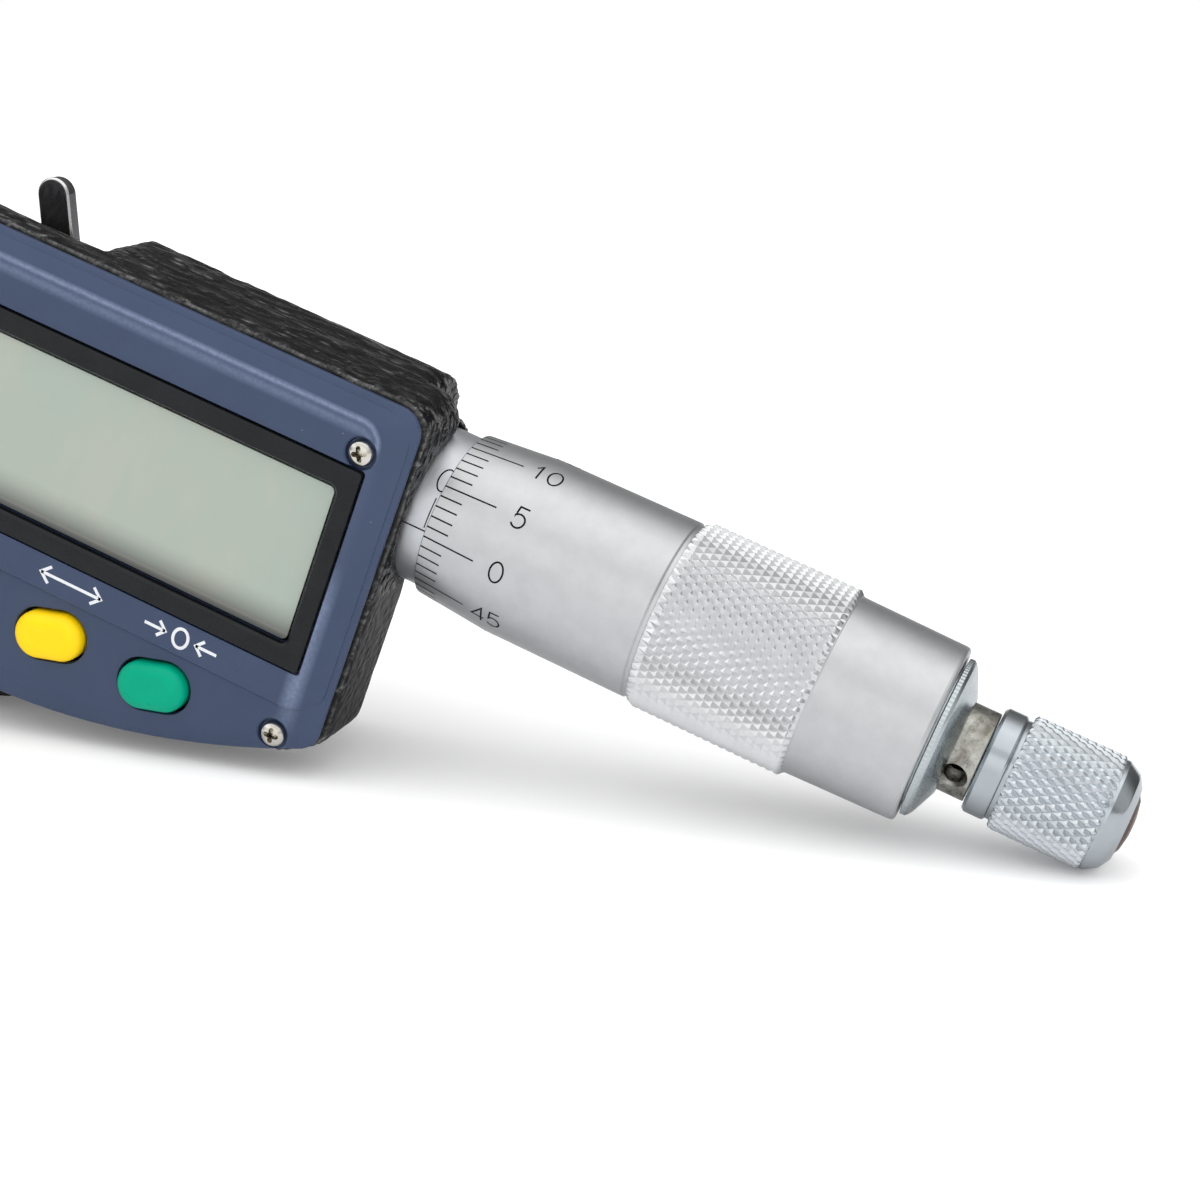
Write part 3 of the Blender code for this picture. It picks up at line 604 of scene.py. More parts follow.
LOOKS = {
    "coat": coated(),
    "blue": panel_blue(),
    "lcd": display(),
    "satin": metal("satin_chrome", (0.63, 0.64, 0.65), 0.4, grain=11.0, depth=0.004, swing=0.02),
    "knurl": metal("knurled_chrome", (0.76, 0.77, 0.78), 0.2, grain=7.0, depth=0.003, swing=0.04),
    "sleeve": metal("sleeve_chrome", (0.70, 0.72, 0.75), 0.42, grain=11.0, depth=0.005, swing=0.03),
    "bright": metal("polished_zinc", (0.50, 0.54, 0.57), 0.15, grain=5.0, lines=7.0, depth=0.004,
                    swing=0.04),
    "flange": metal("flange_zinc", (0.56, 0.61, 0.63), 0.26, grain=7.0, lines=9.0, depth=0.006),
    "zinc": metal("zinc_plate", (0.66, 0.70, 0.73), 0.22, grain=6.0, lines=9.0, depth=0.006),
    "ground": metal("ground_steel", (0.60, 0.61, 0.62), 0.18, grain=8.0, lines=26.0, depth=0.002),
    "carbide": metal("carbide", (0.30, 0.31, 0.32), 0.13, grain=20.0, depth=0.001),
    "steel": metal("nut_steel", (0.42, 0.42, 0.43), 0.3, grain=5.0, lines=6.0, depth=0.01),
    "spring": metal("spring_steel", (0.36, 0.36, 0.38), 0.28, grain=4.0, depth=0.008),
    "brass": metal("brass", (0.62, 0.43, 0.17), 0.3, grain=5.0, lines=8.0, depth=0.008,
                   dull=(0.38, 0.25, 0.09)),
    "nickel": metal("nickel", (0.82, 0.80, 0.75), 0.16, grain=4.0, depth=0.006,
                    dull=(0.62, 0.58, 0.50)),
    "gunmetal": metal("lever_steel", (0.2, 0.2, 0.21), 0.3, grain=5.0, depth=0.006),
    "polished": metal("lever_edge", (0.75, 0.75, 0.74), 0.16, grain=6.0, depth=0.004),
    "bronze": metal("end_screw", (0.16, 0.10, 0.07), 0.38, grain=4.0, depth=0.02,
                    dull=(0.05, 0.04, 0.04)),
    "neck": weathered(),
    "bezel": moulded("bezel_black", (0.012, 0.013, 0.015), 0.28, grain=9.0, depth=0.003,
                     shine=0.22),
    "red": moulded("on_off_plastic", (0.50, 0.02, 0.015), 0.33, shade=0.85, shine=0.3),
    "yellow": moulded("units_plastic", (0.97, 0.64, 0.004), 0.33, shade=0.95, shine=0.2),
    "green": moulded("zero_plastic", (0.0, 0.34, 0.2), 0.33, shade=0.92, shine=0.1),
    "rubber": moulded("seal_rubber", (0.04, 0.04, 0.04), 0.75, grain=4.0, depth=0.02),
    "cap": moulded("cap_black", (0.02, 0.02, 0.021), 0.42, grain=5.0, depth=0.02),
    "board": board("circuit_green", (0.02, 0.13, 0.05)),
    "disc": board("encoder_board", (0.03, 0.16, 0.07)),
    "ink": moulded("engraved_ink", (0.004, 0.004, 0.005), 0.6, grain=12.0, depth=0.002,
                   shine=0.15),
    "white": moulded("printed_white", (0.72, 0.74, 0.78), 0.5, grain=10.0, depth=0.003, shade=0.9),
}

NODE_LOOKS = {
    "anvil": "ground", "anvil_tip": "carbide", "spindle": "ground", "spindle_tip": "carbide",
    "inner_sleeve": "steel", "adjusting_nut": "brass", "ratchet_disc": "steel",
    "ratchet_pawl": "steel", "ratchet_spring": "spring", "lock_pad": "brass",
    "circuit_board": "board", "button_pad": "rubber",
    "encoder_stator": "disc", "encoder_rotor": "disc", "rotor_bush": "brass", "rotor_key": "steel",
    "battery": "nickel", "battery_contact": "nickel", "battery_seal": "rubber",
}


def keep(made, name, node, *looks, stands_in=True, angle=38.0):
    """Name a finished piece, dress it, and let it ride where its CAD node does."""
    made.name = made.data.name = name
    made.data.materials.clear()
    for look in looks:
        made.data.materials.append(LOOKS[look])
    made.data.shade_smooth()
    made.data.set_sharp_from_angle(angle=math.radians(angle))
    weighted = made.modifiers.new("normals", "WEIGHTED_NORMAL")
    weighted.keep_sharp = True
    if stands_in:
        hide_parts(node)
    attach(made, NODES[node]["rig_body"])
    return made


# ---------------------------------------------------------------- frame

def ridge(point, *scale):
    """Creased noise, 1 along its folds."""
    value = noise.noise(Vector((point.x * scale[0], point.y * scale[1], point.z * scale[2])))
    return 1.0 - min(1.0, abs(value) * 2.4)


def coat_share(p, n):
    """How much wrinkle paint is on the casting at a point: none inside or on machined faces."""
    radius = math.hypot(p.y, p.z)
    if radius < 4.2 or (p.x > 60 and radius < 8.2):
        return 0.0
    if 36.8 < p.x < 88.4 and chin(p.x, 2.0) < p.y < 9.5 and p.z > 5.4:
        return 0.0
    if math.hypot(p.x - BATTERY[0], p.y - BATTERY[1]) < 7.8 and p.z < -0.5:
        return 0.0
    if n.x > 0.8 and p.x > 91.0:
        return 0.35 if p.y < -8.0 else 0.8
    return 0.4 if p.z > 9.2 else 1.0


def make_frame():
    """The casting, remeshed evenly and folded by its wrinkle paint."""
    mesh = NODES["frame"].data.copy()
    work = bmesh.new()
    work.from_mesh(mesh)
    bmesh.ops.remove_doubles(work, verts=work.verts, dist=1e-6)
    work.to_mesh(mesh)
    work.free()
    made = bpy.data.objects.new("shape", mesh)
    SCENE.collection.objects.link(made)
    remesh = made.modifiers.new("remesh", "REMESH")
    remesh.mode = "VOXEL"
    remesh.voxel_size = 0.4 * MM
    even = made.modifiers.new("even", "SMOOTH")
    even.factor, even.iterations = 0.5, 2
    baked(made)
    mesh = made.data
    count = len(mesh.vertices)
    at, out = np.empty(count * 3), np.empty(count * 3)
    mesh.vertices.foreach_get("co", at)
    mesh.vertices.foreach_get("normal", out)
    at, out = at.reshape(-1, 3), out.reshape(-1, 3)
    coat = np.zeros(count, dtype=np.float32)
    lift = np.zeros(count)
    for i in range(count):
        p = Vector(at[i]) / MM - OFFSET
        coat[i] = share = coat_share(p, Vector(out[i]))
        if share:
            near = p * 0.35
            sway = Vector((noise.noise(near), noise.noise(near + Vector((9, 2, 5))), 0)) * 1.2
            lift[i] = share * (ridge(p + sway, 0.2, 0.55, 0.55) - 0.75) * 0.16
    at = at + out * (lift * MM)[:, None]
    mesh.vertices.foreach_set("co", at.ravel())
    mesh.update()
    ends = np.empty(len(mesh.edges) * 2, dtype=np.int64)
    mesh.edges.foreach_get("vertices", ends)
    one, two = ends.reshape(-1, 2).T
    normals = np.empty(count * 3)
    mesh.vertices.foreach_get("normal", normals)
    normals = normals.reshape(-1, 3)
    step = at[two] - at[one]
    step /= np.linalg.norm(step, axis=1)[:, None] + 1e-12
    bend, number = np.zeros(count), np.zeros(count)
    np.add.at(bend, one, -(normals[one] * step).sum(1))
    np.add.at(bend, two, (normals[two] * step).sum(1))
    np.add.at(number, one, 1)
    np.add.at(number, two, 1)
    edge = np.clip((bend / np.maximum(number, 1) - 0.08) / 0.16, 0, 1).astype(np.float32)
    for name, values in (("coat", coat), ("edge", edge)):
        mesh.attributes.new(name, "FLOAT", "POINT").data.foreach_set("value", values)
    keep(made, "frame_casting", "frame", "coat", angle=180)
    made.modifiers.clear()


# ---------------------------------------------------------------- front panel

def make_panel():
    panel = stacked([(z, housing_outline(0.5 + inset)) for z, inset in (
        (9.8, 0.0), (10.1, 0.0), (10.2, 0.03), (10.28, 0.12), (10.34, 0.26), (10.68, 1.3),
        (10.75, 1.6),
        (10.79, 1.95), (PANEL_LOW, 2.3))])

    def upper(inset):
        return rectangle(34.3 + inset, 91.75 - inset, PLATEAU_BOTTOM + 0.16 * inset,
                         10.35 - inset * 0.75,
                         max(3.3 - inset, 0.6), 10)

    plateau = stacked([(z, upper(inset)) for z, inset in (
        (10.0, 0.0), (10.45, 0.0), (10.56, 0.05), (10.64, 0.18), (11.08, 1.7), (11.18, 2.05),
        (11.25, 2.4),
        (11.29, 2.75), (PANEL_TOP, 3.1))])
    combined(panel, plateau, how="UNION")
    cutters = [prism(rectangle(*grown(BEZEL, 0.25), 0.4), 10.4, 13.0),
               prism(rectangle(*VIEW, 0.8), 9.0, 13.0)]
    for _, x in BUTTONS:
        levels = [(8.0, 0.6), (PANEL_LOW - 0.15, 0.6), (PANEL_LOW + 0.02, 0.78), (13.0, 3.5)]
        cutters.append(stacked([(z, button_outline(x, more))
                                for z, more in levels]))
    for x, y in SCREWS:
        top = PANEL_TOP if y > PLATEAU_BOTTOM else PANEL_LOW
        cutters.append(turned([(top + 1, 0), (top + 1, 2.75), (top - 0.16, 1.56), (top - 0.7, 1.5),
                               (top - 0.7, 0.95), (9.0, 0.95), (9.0, 0)], 48, 0.12, "Z", (x, y)))
    combined(panel, *cutters)
    keep(panel, "front_panel_moulding", "front_panel", "blue", angle=30)

    bezel = prism(rectangle(*BEZEL, 0.35, 6), 10.7, 11.55, 0.14, 4)
    opening = stacked([(10.0, rectangle(*VIEW, 0.8)), (11.3, rectangle(*VIEW, 0.8)),
                       (12.5, rectangle(*grown(VIEW, 1.2), 2.0))])
    combined(bezel, opening)
    keep(bezel, "display_surround", "display_bezel", "bezel", angle=30)
    glass = prism(rectangle(*grown(VIEW, -0.3), 0.6, 6), 8.5, 10.9, 0.08, 2)
    keep(glass, "display_glass", "lcd_module", "lcd")


def make_buttons():
    for (name, x), look in zip(BUTTONS, ("red", "yellow", "green")):
        levels = []
        for z, inset in ((9.3, 0.1), (9.4, 0.0), (11.05, 0.0), (11.3, 0.03), (11.55, 0.13),
                         (11.8, 0.32),
                         (12.0, 0.6), (12.12, 0.92), (12.18, 1.2), (12.2, 1.5)):
            levels.append((z, button_outline(x, -2 * inset)))
        keep(stacked(levels), name + "_cap", name, look)


def make_panel_screws():
    for i, (x, y) in enumerate(SCREWS):
        seat = (PANEL_TOP if y > PLATEAU_BOTTOM else PANEL_LOW) - 0.4
        screw = turned([(seat + 0.78, 0), (seat + 0.76, 0.4), (seat + 0.66, 0.8), (seat + 0.46, 1.1),
                        (seat + 0.25, 1.22), (seat, 1.22), (seat, 0.65), (seat - 5.0, 0.65),
                        (seat - 5.5, 0)],
                       48, 0.08, "Z", (x, y))
        turn = (24.0, 51.0, 8.0, 70.0)[i]
        for extra in (0, 90):
            low = obround(0.8, 0.2, (x, y), turn + extra, 4)
            high = obround(1.75, 0.52, (x, y), turn + extra, 4)
            combined(screw, stacked([(seat - 0.3, low), (seat + 0.85, high)]))
        keep(screw, f"panel_screw_{i + 1}_head", f"panel_screw_{i + 1}", "nickel")


def flat_marks(name, strokes, width, z, node, look):
    """Printed lines on the panel, each a list of (x, y)."""
    points, faces = [], []
    for line in strokes:
        ribbon(line, width, lambda x, y: (x, y, z), points, faces)
    made = thing(points, faces)
    if sum(f.normal.z for f in made.data.polygons) < 0:
        made.data.flip_normals()
    return keep(made, name, node, look, stands_in=False)


def ribbon(line, width, to_space, points, faces):
    """Adds a flat strip along a line drawn on a surface."""
    fine = [Vector(line[0])]
    for a, b in zip(line, line[1:]):
        a, b = Vector(a), Vector(b)
        pieces = max(1, int((b - a).length / 0.3))
        fine += [a.lerp(b, (k + 1) / pieces) for k in range(pieces)]
    closed = (fine[0] - fine[-1]).length < 1e-6
    first = len(points)
    for i, here in enumerate(fine):
        before = fine[i - 1] if i else (fine[-2] if closed else here)
        after = fine[i + 1] if i < len(fine) - 1 else (fine[1] if closed else here)
        back, ahead = (here - before), (after - here)
        side = Vector((0.0, 0.0))
        for way in (back, ahead):
            if way.length > 1e-9:
                way = way.normalized()
                side += Vector((-way.y, way.x))
        side.normalize()
        way = (back if back.length > 1e-9 else ahead).normalized()
        spread = width / 2 / max(0.4, abs(side.dot(Vector((-way.y, way.x)))))
        points.append(to_space(*(here + side * spread)))
        points.append(to_space(*(here - side * spread)))
    for i in range(len(fine) - 1):
        k = first + 2 * i
        faces.append((k, k + 1, k + 3, k + 2))


def make_symbols():
    """Generic signs in the places of the legends over the buttons."""
    y = -19.2
    ring = arc((51.0, y), 0.95, 125, 415, 24)
    on_off = [ring, [(51.0, y + 0.1), (51.0, y + 1.2)]]
    units = [[(60.6, y), (67.4, y)], [(61.6, y + 0.9), (60.6, y), (61.6, y - 0.9)],
             [(66.4, y + 0.9), (67.4, y), (66.4, y - 0.9)]]
    zero = [bow(76.4, y, 0.8, 1.0, 0, 360, 28), [(72.4, y), (74.7, y)], [(78.1, y), (80.4, y)],
            [(73.9, y + 0.8), (74.7, y), (73.9, y - 0.8)],
            [(78.9, y + 0.8), (78.1, y), (78.9, y - 0.8)]]
    for name, strokes in (("sign_on_off", on_off), ("sign_units", units), ("sign_zero", zero)):
        flat_marks(name, strokes, 0.32, PANEL_TOP + 0.015, "front_panel", "white")


# ---------------------------------------------------------------- barrel marks

def bow(x, y, wide, high, start, end, steps=12):
    angles = [math.radians(start + (end - start) * i / steps) for i in range(steps + 1)]
    return [(x + wide * math.cos(a), y + high * math.sin(a)) for a in angles]


FIGURES = {
    "0": [bow(0.5, 0.5, 0.5, 0.5, 90, 450, 24)],
    "1": [[(0.18, 0.76), (0.55, 1.0), (0.55, 0.0)]],
    "2": [bow(0.5, 0.7, 0.46, 0.3, 165, -35) + [(0.04, 0.0), (0.98, 0.0)]],
    "3": [bow(0.47, 0.76, 0.42, 0.24, 155, -90), bow(0.47, 0.27, 0.5, 0.27, 90, -155)],
    "4": [[(0.78, 0.0), (0.78, 1.0), (0.0, 0.3), (1.0, 0.3)]],
    "5": [[(0.92, 1.0), (0.2, 1.0), (0.12, 0.52)] + bow(0.47, 0.33, 0.5, 0.33, 135, -150)],
}


def figure_strokes(text, middle, height, width, pitch):
    """A number's lines about the middle, reading along x with its top toward y."""
    strokes = []
    for i, sign in enumerate(text):
        left = middle[0] + (i - (len(text) - 1) / 2) * pitch - width / 2
        for line in FIGURES[sign]:
            strokes.append([(left + x * width, middle[1] + (y - 0.5) * height) for x, y in line])
    return strokes


def barrel_marks(name, strokes, radius_at, node):
    """strokes: (line of (x, distance round), angle of the line's own zero, width)."""
    points, faces = [], []
    for line, angle, width in strokes:
        def to_space(x, s):
            r = radius_at(x) + MARK_LIFT
            a = math.radians(angle) + s / r
            return x, r * math.sin(a), r * math.cos(a)
        ribbon(line, width, to_space, points, faces)
    made = thing(points, faces)
    axis = place((0, 0, 0))
    outward = sum(f.normal.dot(Vector((0, f.center.y, f.center.z - axis.z)))
                  for f in made.data.polygons)
    if outward < 0:
        made.data.flip_normals()
    return keep(made, name, node, "ink", stands_in=False)


def thimble_radius(x):
    along = x - RIM
    if along < CONE_LENGTH:
        return CONE_START_R + (CONE_END_R - CONE_START_R) * along / CONE_LENGTH
    return CONE_END_R + (BARREL_R - CONE_END_R) * (along - CONE_LENGTH) / 14.7


def make_thimble():
    profile = [(49.9, 7.2), (49.9, 8.5), (49.75, 8.66), (49.5, 8.74), (39.3, 8.95), (38.95, 8.97),
               (38.9, 9.03), (22.9, 9.03), (22.75, 8.84), (22.4, 8.84), (22.2, BARREL_R),
               (CONE_LENGTH, CONE_END_R), (0.0, CONE_START_R), (0.0, 8.0), (36.0, 8.0), (36.0, 7.2)]
    keep(turned([(RIM + x, r) for x, r in profile], 160, 0.1), "thimble_barrel", "thimble", "satin")
    grip = knurled(RIM + 22.85, RIM + 38.9, 62, 0.615, 9.45, 9.1, 0.0, 0.16, 0.45)
    keep(grip, "thimble_knurling", "thimble", "knurl", angle=25)
    strokes = []
    for k in range(50):
        angle = -1.66 + 7.2 * k
        long = k % 5 == 0
        strokes.append(([(RIM + 0.06, 0.0), (RIM + (5.46 if long else 2.34), 0.0)], angle, 0.15))
        if long:
            text = figure_strokes(str(k), (RIM + 7.93, 0.0), 2.05, 1.32, 1.66)
            strokes += [(line, angle, 0.18) for line in text]
    barrel_marks("thimble_graduations", strokes, thimble_radius, "thimble")


def make_sleeve():
    tube = [(121.0, 6.9), (121.0, SLEEVE_R), (89.5, SLEEVE_R), (89.5, 6.9)]
    keep(turned(tube, 144, 0.1), "sleeve_tube", "sleeve", "sleeve")
    strokes = [([(91.7, 0.0), (120.5, 0.0)], 0.1, 0.14)]
    zero = 94.67
    for k in range(26):
        strokes.append(([(zero + k, 0.3), (zero + k, 3.35 if k % 5 == 0 else 2.3)], 0.0, 0.11))
        if k < 25:
            strokes.append(([(zero + k + 0.5, -0.3), (zero + k + 0.5, -2.2)], 0.0, 0.11))
        if k % 5 == 0:
            for line in figure_strokes(str(k), (zero + k, 5.25), 2.4, 1.35, 1.7):
                strokes.append((line, 0.0, 0.15))
    barrel_marks("sleeve_graduations", strokes, lambda x: SLEEVE_R, "sleeve")


# ---------------------------------------------------------------- ratchet end

def make_ratchet():
    def teeth(at, i):
        return -0.08 if i % 2 and RIM + 50.2 < at < RIM + 50.8 else 0.0

    cap = [(51.5, 3.55), (51.5, 4.62), (52.2, 4.62), (52.25, 4.75), (52.05, 5.2), (51.2, 7.15),
           (50.9, 7.6), (50.62, 7.85), (50.15, 7.85), (50.1, 6.9), (37.0, 6.9), (37.0, 3.55)]
    flange = turned([(RIM + x, r) for x, r in cap], 220, 0.06, wave=teeth)
    keep(flange, "thimble_cap_flange", "thimble_cap", "flange")

    end, collar = RIM + 69.3, RIM + 55.2
    stem = turned([(end - 3.0, 0), (end - 3.0, 1.8), (collar - 0.32, 1.8), (collar - 0.32, 4.35),
                   (collar - 0.42, 4.4), (RIM + 51.8, 4.4), (RIM + 51.65, 4.25), (RIM + 51.65, 2.2),
                   (RIM + 54.4, 2.2), (RIM + 54.4, 0)], 96, 0.06)
    hole = turned([(-6.0, 0), (-6.0, 1.0), (3.9, 1.0), (4.6, 1.5), (8.0, 1.5),
                   (8.0, 0)], 40, 0.02, "Z")
    hole.data.transform(Matrix.Translation(place((RIM + 53.2, 0, 0)))
                        @ Matrix.Rotation(math.radians(16.3), 4, "X")
                        @ Matrix.Translation(-place((0, 0, 0))))
    combined(stem, hole)
    keep(stem, "ratchet_neck", "ratchet_stem", "neck")

    knob = [(end - 0.35, 3.5), (end - 0.35, 3.62), (end - 0.95, 4.62), (end - 1.15, 4.78),
            (RIM + 67.05, 5.4), (RIM + 66.75, 5.4), (RIM + 66.7, 5.36), (RIM + 57.75, 5.36),
            (RIM + 57.7, 4.95), (RIM + 57.4, 4.9), (RIM + 57.25, 4.95), (RIM + 57.2, 5.1),
            (RIM + 57.0, 5.2), (RIM + 55.3, 5.2), (RIM + 54.97, 4.9), (RIM + 54.97, 2.1),
            (collar + 1.5, 2.1), (collar + 1.5, 4.2), (end - 3.3, 4.2), (end - 3.3, 2.1),
            (end - 1.8, 2.1), (end - 1.8, 3.5)]
    keep(turned(knob, 128, 0.08), "ratchet_knob_body", "ratchet_knob", "bright")
    grip = knurled(RIM + 57.7, RIM + 66.75, 37, 0.63, 5.64, 5.32, 0.5, 0.34, 0.25)
    keep(grip, "ratchet_knob_knurling", "ratchet_knob", "zinc", angle=25)

    screw = turned([(end + 0.3, 0), (end + 0.24, 1.2), (end, 2.4), (end - 0.42, 3.25),
                    (end - 0.7, 3.4), (end - 1.5, 3.4), (end - 1.5, 1.7), (end - 2.7, 1.7),
                    (end - 2.7, 0)], 72, 0.04)
    slot = prism([(-4, -0.35), (4, -0.35), (4, 0.35), (-4, 0.35)], end - 0.5, end + 1, along="X")
    combined(screw, slot)
    keep(screw, "ratchet_end_screw", "ratchet_screw", "bronze")


# ---------------------------------------------------------------- lock and back

def make_lock():
    hub, half, tip = 3.6, 1.8, 13.3 - 1.8
    turn = Matrix.Rotation(math.radians(LOCK_ANGLE), 2)

    def outline(inset):
        meet = math.degrees(math.asin((half - inset) / (hub - inset)))
        points = (arc((0, 0), hub - inset, 90 + meet, 450 - meet, 48)
                  + arc((0, tip), half - inset, 0, 180, 28))
        moved = [turn @ Vector(p) for p in points]
        return [(LOCK_X + p.x, p.y) for p in moved]

    lever = stacked([(z, outline(inset)) for z, inset in (
        (-8.3, 0.3), (-8.24, 0.14), (-8.1, 0.03), (-8.0, 0.0), (-6.75, 0.0), (-6.7, 0.02),
        (-6.53, 0.19), (-6.5, 0.27))])
    hole = turned([(-9, 0), (-9, 1.7), (-5, 1.7), (-5, 0)], 48, 0.0, "Z", (LOCK_X, 0))
    combined(lever, hole)
    keep(lever, "lock_lever_arm", "lock_lever", "gunmetal", "polished")
    for face in lever.data.polygons:
        tilted = 0.25 < abs(face.normal.z) < 0.9
        face.material_index = 1 if tilted and face.center.z < place((0, 0, -6.4)).z else 0
    screw = turned([(-4.6, 0), (-4.6, 2.3), (-6.3, 2.3), (-6.3, 1.4), (-8.6, 1.4), (-8.6, 2.6),
                    (-9.1, 2.6),
                    (-9.3, 2.3), (-9.3, 0)], 64, 0.06, "Z", (LOCK_X, 0))
    slot = prism(rectangle(LOCK_X - 4, LOCK_X + 4, -0.35, 0.35, 0.05, 2), -10, -8.95)
    combined(screw, slot)
    keep(screw, "lock_pivot_screw", "lock_screw", "polished")


def make_battery_cap():
    cap = turned([(-8.3, 0), (-8.3, 7.3), (-9.3, 7.3), (-9.6, 7.05), (-9.6, 5.9), (-9.45, 5.75),
                  (-9.45, 0)],
                 128, 0.05, "Z", BATTERY)
    slot = prism(obround(9.0, 1.4, BATTERY, 0, 8), -10.6, -8.9)
    combined(cap, slot)
    keep(cap, "battery_cover", "battery_cap", "cap")


def dress_nodes():
    for name, look in NODE_LOOKS.items():
        data = NODES[name].data
        data.materials.clear()
        data.materials.append(LOOKS[look])


# ---------------------------------------------------------------- setting

def make_floor():
    """The table it stands on, seen only from above so the other views stay clear."""
    centre = Vector((TABLE_UNDER, 0.0, 0.0)) * MM - TABLE_UP * TABLE_DROP * MM
    depth = Vector((0, 0, 1))
    side = TABLE_UP.cross(depth).normalized()
    corners = [centre + side * a * TABLE_SIZE + depth * b * TABLE_SIZE
               for a, b in ((-1, -1), (-1, 1), (1, 1), (1, -1))]
    mesh = bpy.data.meshes.new("table")
    mesh.from_pydata(corners, [], [(0, 1, 2, 3)])
    made = bpy.data.objects.new("table", mesh)
    SCENE.collection.objects.link(made)
    if mesh.polygons[0].normal.dot(TABLE_UP) < 0:
        mesh.flip_normals()
    material = bpy.data.materials.new("table_white")
    material.use_nodes = True
    nodes, links = material.node_tree.nodes, material.node_tree.links
    nodes.remove(nodes["Principled BSDF"])
    kinds = ("BsdfDiffuse", "BsdfDiffuse", "BsdfTransparent", "Emission", "AddShader",
             "MixShader", "MixShader")
    lit, mirrored, clear, glow, total, seen, way = (
        nodes.new("ShaderNode" + kind) for kind in kinds)
    lit.inputs["Color"].default_value = (0.93, 0.93, 0.93, 1)
    mirrored.inputs["Color"].default_value = (0.7, 0.7, 0.71, 1)
    glow.inputs["Strength"].default_value = 0.12
    path, geometry = nodes.new("ShaderNodeLightPath"), nodes.new("ShaderNodeNewGeometry")
    for source, socket in (
            (lit.outputs[0], total.inputs[0]), (glow.outputs[0], total.inputs[1]),
            (path.outputs["Is Glossy Ray"], seen.inputs[0]), (total.outputs[0], seen.inputs[1]),
            (mirrored.outputs[0], seen.inputs[2]), (geometry.outputs["Backfacing"], way.inputs[0]),
            (seen.outputs[0], way.inputs[1]), (clear.outputs[0], way.inputs[2]),
            (way.outputs[0], nodes["Material Output"].inputs["Surface"])):
        links.new(source, socket)
    mesh.materials.append(material)


# How bright the room is by angle round the spindle's axis, from +Z toward +Y: as seen in
# reflections, and as it lights dull surfaces and the table. Reflections dim toward +X.
MIRRORED = ((-180, 0.4), (-86, 0.26), (-64, 0.33), (-44, 0.5), (-19, 0.72), (-3, 0.92),
            (20, 1.2), (32, 1.2), (38, 0.85), (47, 0.85), (54, 1.2), (76, 1.3), (94, 1.42),
            (114, 1.1), (126, 0.6), (138, 0.3), (165, 0.15), (180, 0.4))
SCATTERED = ((-180, 0.7), (-75, 0.7), (-60, 0.55), (0, 0.6), (25, 1.2), (45, 2.1), (95, 2.3),
             (115, 1.2), (140, 0.5), (172, 0.5), (180, 0.7))


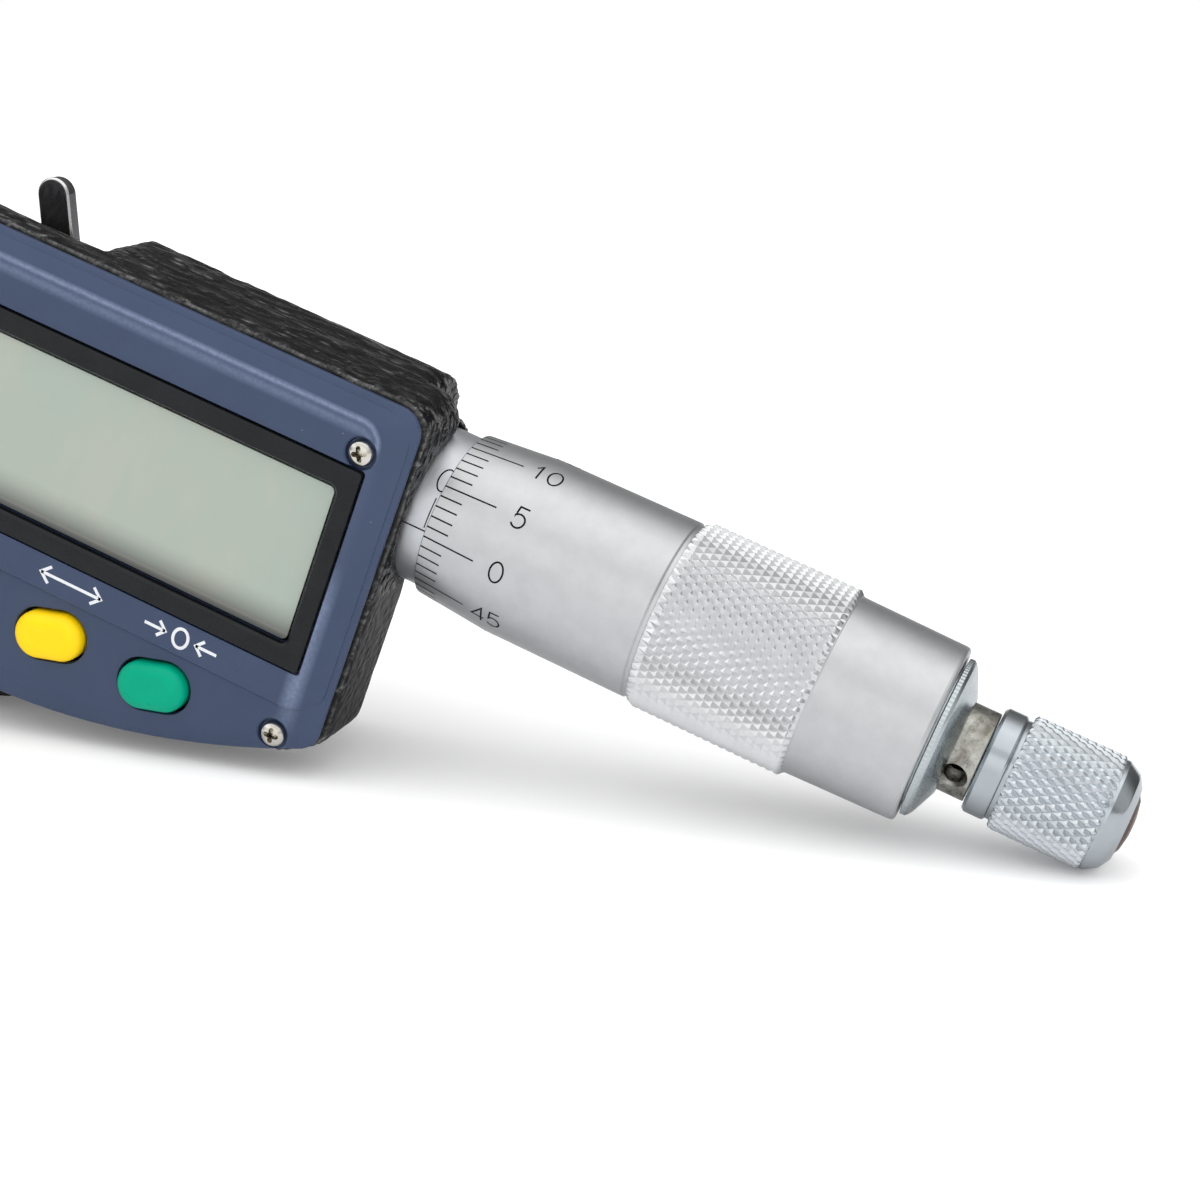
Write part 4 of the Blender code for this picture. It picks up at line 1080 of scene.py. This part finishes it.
def make_world():
    """A white room: a long softbox overhead, a darker far side and a soft front."""
    world = bpy.data.worlds.new("studio")
    SCENE.world = world
    world.use_nodes = True
    nodes, links = world.node_tree.nodes, world.node_tree.links
    nodes.clear()
    split, angle = nodes.new("ShaderNodeSeparateXYZ"), nodes.new("ShaderNodeMath")
    links.new(nodes.new("ShaderNodeTexCoord").outputs["Generated"], split.inputs[0])
    angle.operation = "ARCTAN2"
    links.new(split.outputs["Y"], angle.inputs[0])
    links.new(split.outputs["Z"], angle.inputs[1])
    turn = nodes.new("ShaderNodeMapRange")
    links.new(angle.outputs[0], turn.inputs["Value"])
    turn.inputs["From Min"].default_value = -math.pi
    turn.inputs["From Max"].default_value = math.pi
    path = nodes.new("ShaderNodeLightPath")
    side = nodes.new("ShaderNodeMapRange")
    links.new(split.outputs["X"], side.inputs["Value"])
    for key, value in (("From Min", 0.3), ("From Max", 0.62), ("To Min", 1.0), ("To Max", 0.42)):
        side.inputs[key].default_value = value
    dimmed = nodes.new("ShaderNodeMath")
    dimmed.operation = "MULTIPLY"
    dimmed.inputs[1].default_value = RAMP_TOP
    links.new(side.outputs[0], dimmed.inputs[0])
    shown = None
    for factor, stops in ((None, MIRRORED), ("Is Diffuse Ray", SCATTERED), ("Is Camera Ray", None)):
        light = nodes.new("ShaderNodeBackground")
        if stops is None:
            light.inputs["Color"].default_value = (1, 1, 1, 1)
        else:
            ramp = nodes.new("ShaderNodeValToRGB")
            links.new(turn.outputs[0], ramp.inputs[0])
            elements = ramp.color_ramp.elements
            while len(elements) < len(stops):
                elements.new(0.5)
            for element, (degrees, level) in zip(elements, stops):
                element.position = (degrees + 180) / 360
                element.color = (level / RAMP_TOP, level / RAMP_TOP, level / RAMP_TOP, 1)
            links.new(ramp.outputs[0], light.inputs["Color"])
            light.inputs["Strength"].default_value = RAMP_TOP
        if stops is MIRRORED:
            links.new(dimmed.outputs[0], light.inputs["Strength"])
        if shown is None:
            shown = light
            continue
        mix = nodes.new("ShaderNodeMixShader")
        links.new(path.outputs[factor], mix.inputs[0])
        links.new(shown.outputs[0], mix.inputs[1])
        links.new(light.outputs[0], mix.inputs[2])
        shown = mix
    links.new(shown.outputs[0], nodes.new("ShaderNodeOutputWorld").inputs["Surface"])
    SCENE.view_settings.view_transform = "Standard"


def make_camera():
    right = Vector((0.89104634, 0.3335851, -0.3078269))
    up = -Vector((0.41309107, -0.87701968, 0.2453411))
    back = Vector((0.18812812, 0.34577083, 0.9192662))
    data = bpy.data.cameras.new("camera")
    data.lens, data.sensor_width = 69.88, 36.0
    data.shift_x, data.shift_y = 0.0007, -0.0038
    data.clip_start, data.clip_end = 0.01, 10.0
    camera = bpy.data.objects.new("camera", data)
    turn = Matrix((right, up, back)).transposed().to_4x4()
    camera.matrix_world = Matrix.Translation(Vector((79.58, 75.16, 213.07)) * MM) @ turn
    SCENE.collection.objects.link(camera)
    SCENE.camera = camera


make_camera()
make_world()
make_floor()
make_frame()
make_panel()
make_buttons()
make_panel_screws()
make_symbols()
make_sleeve()
make_thimble()
make_ratchet()
make_lock()
make_battery_cap()
dress_nodes()
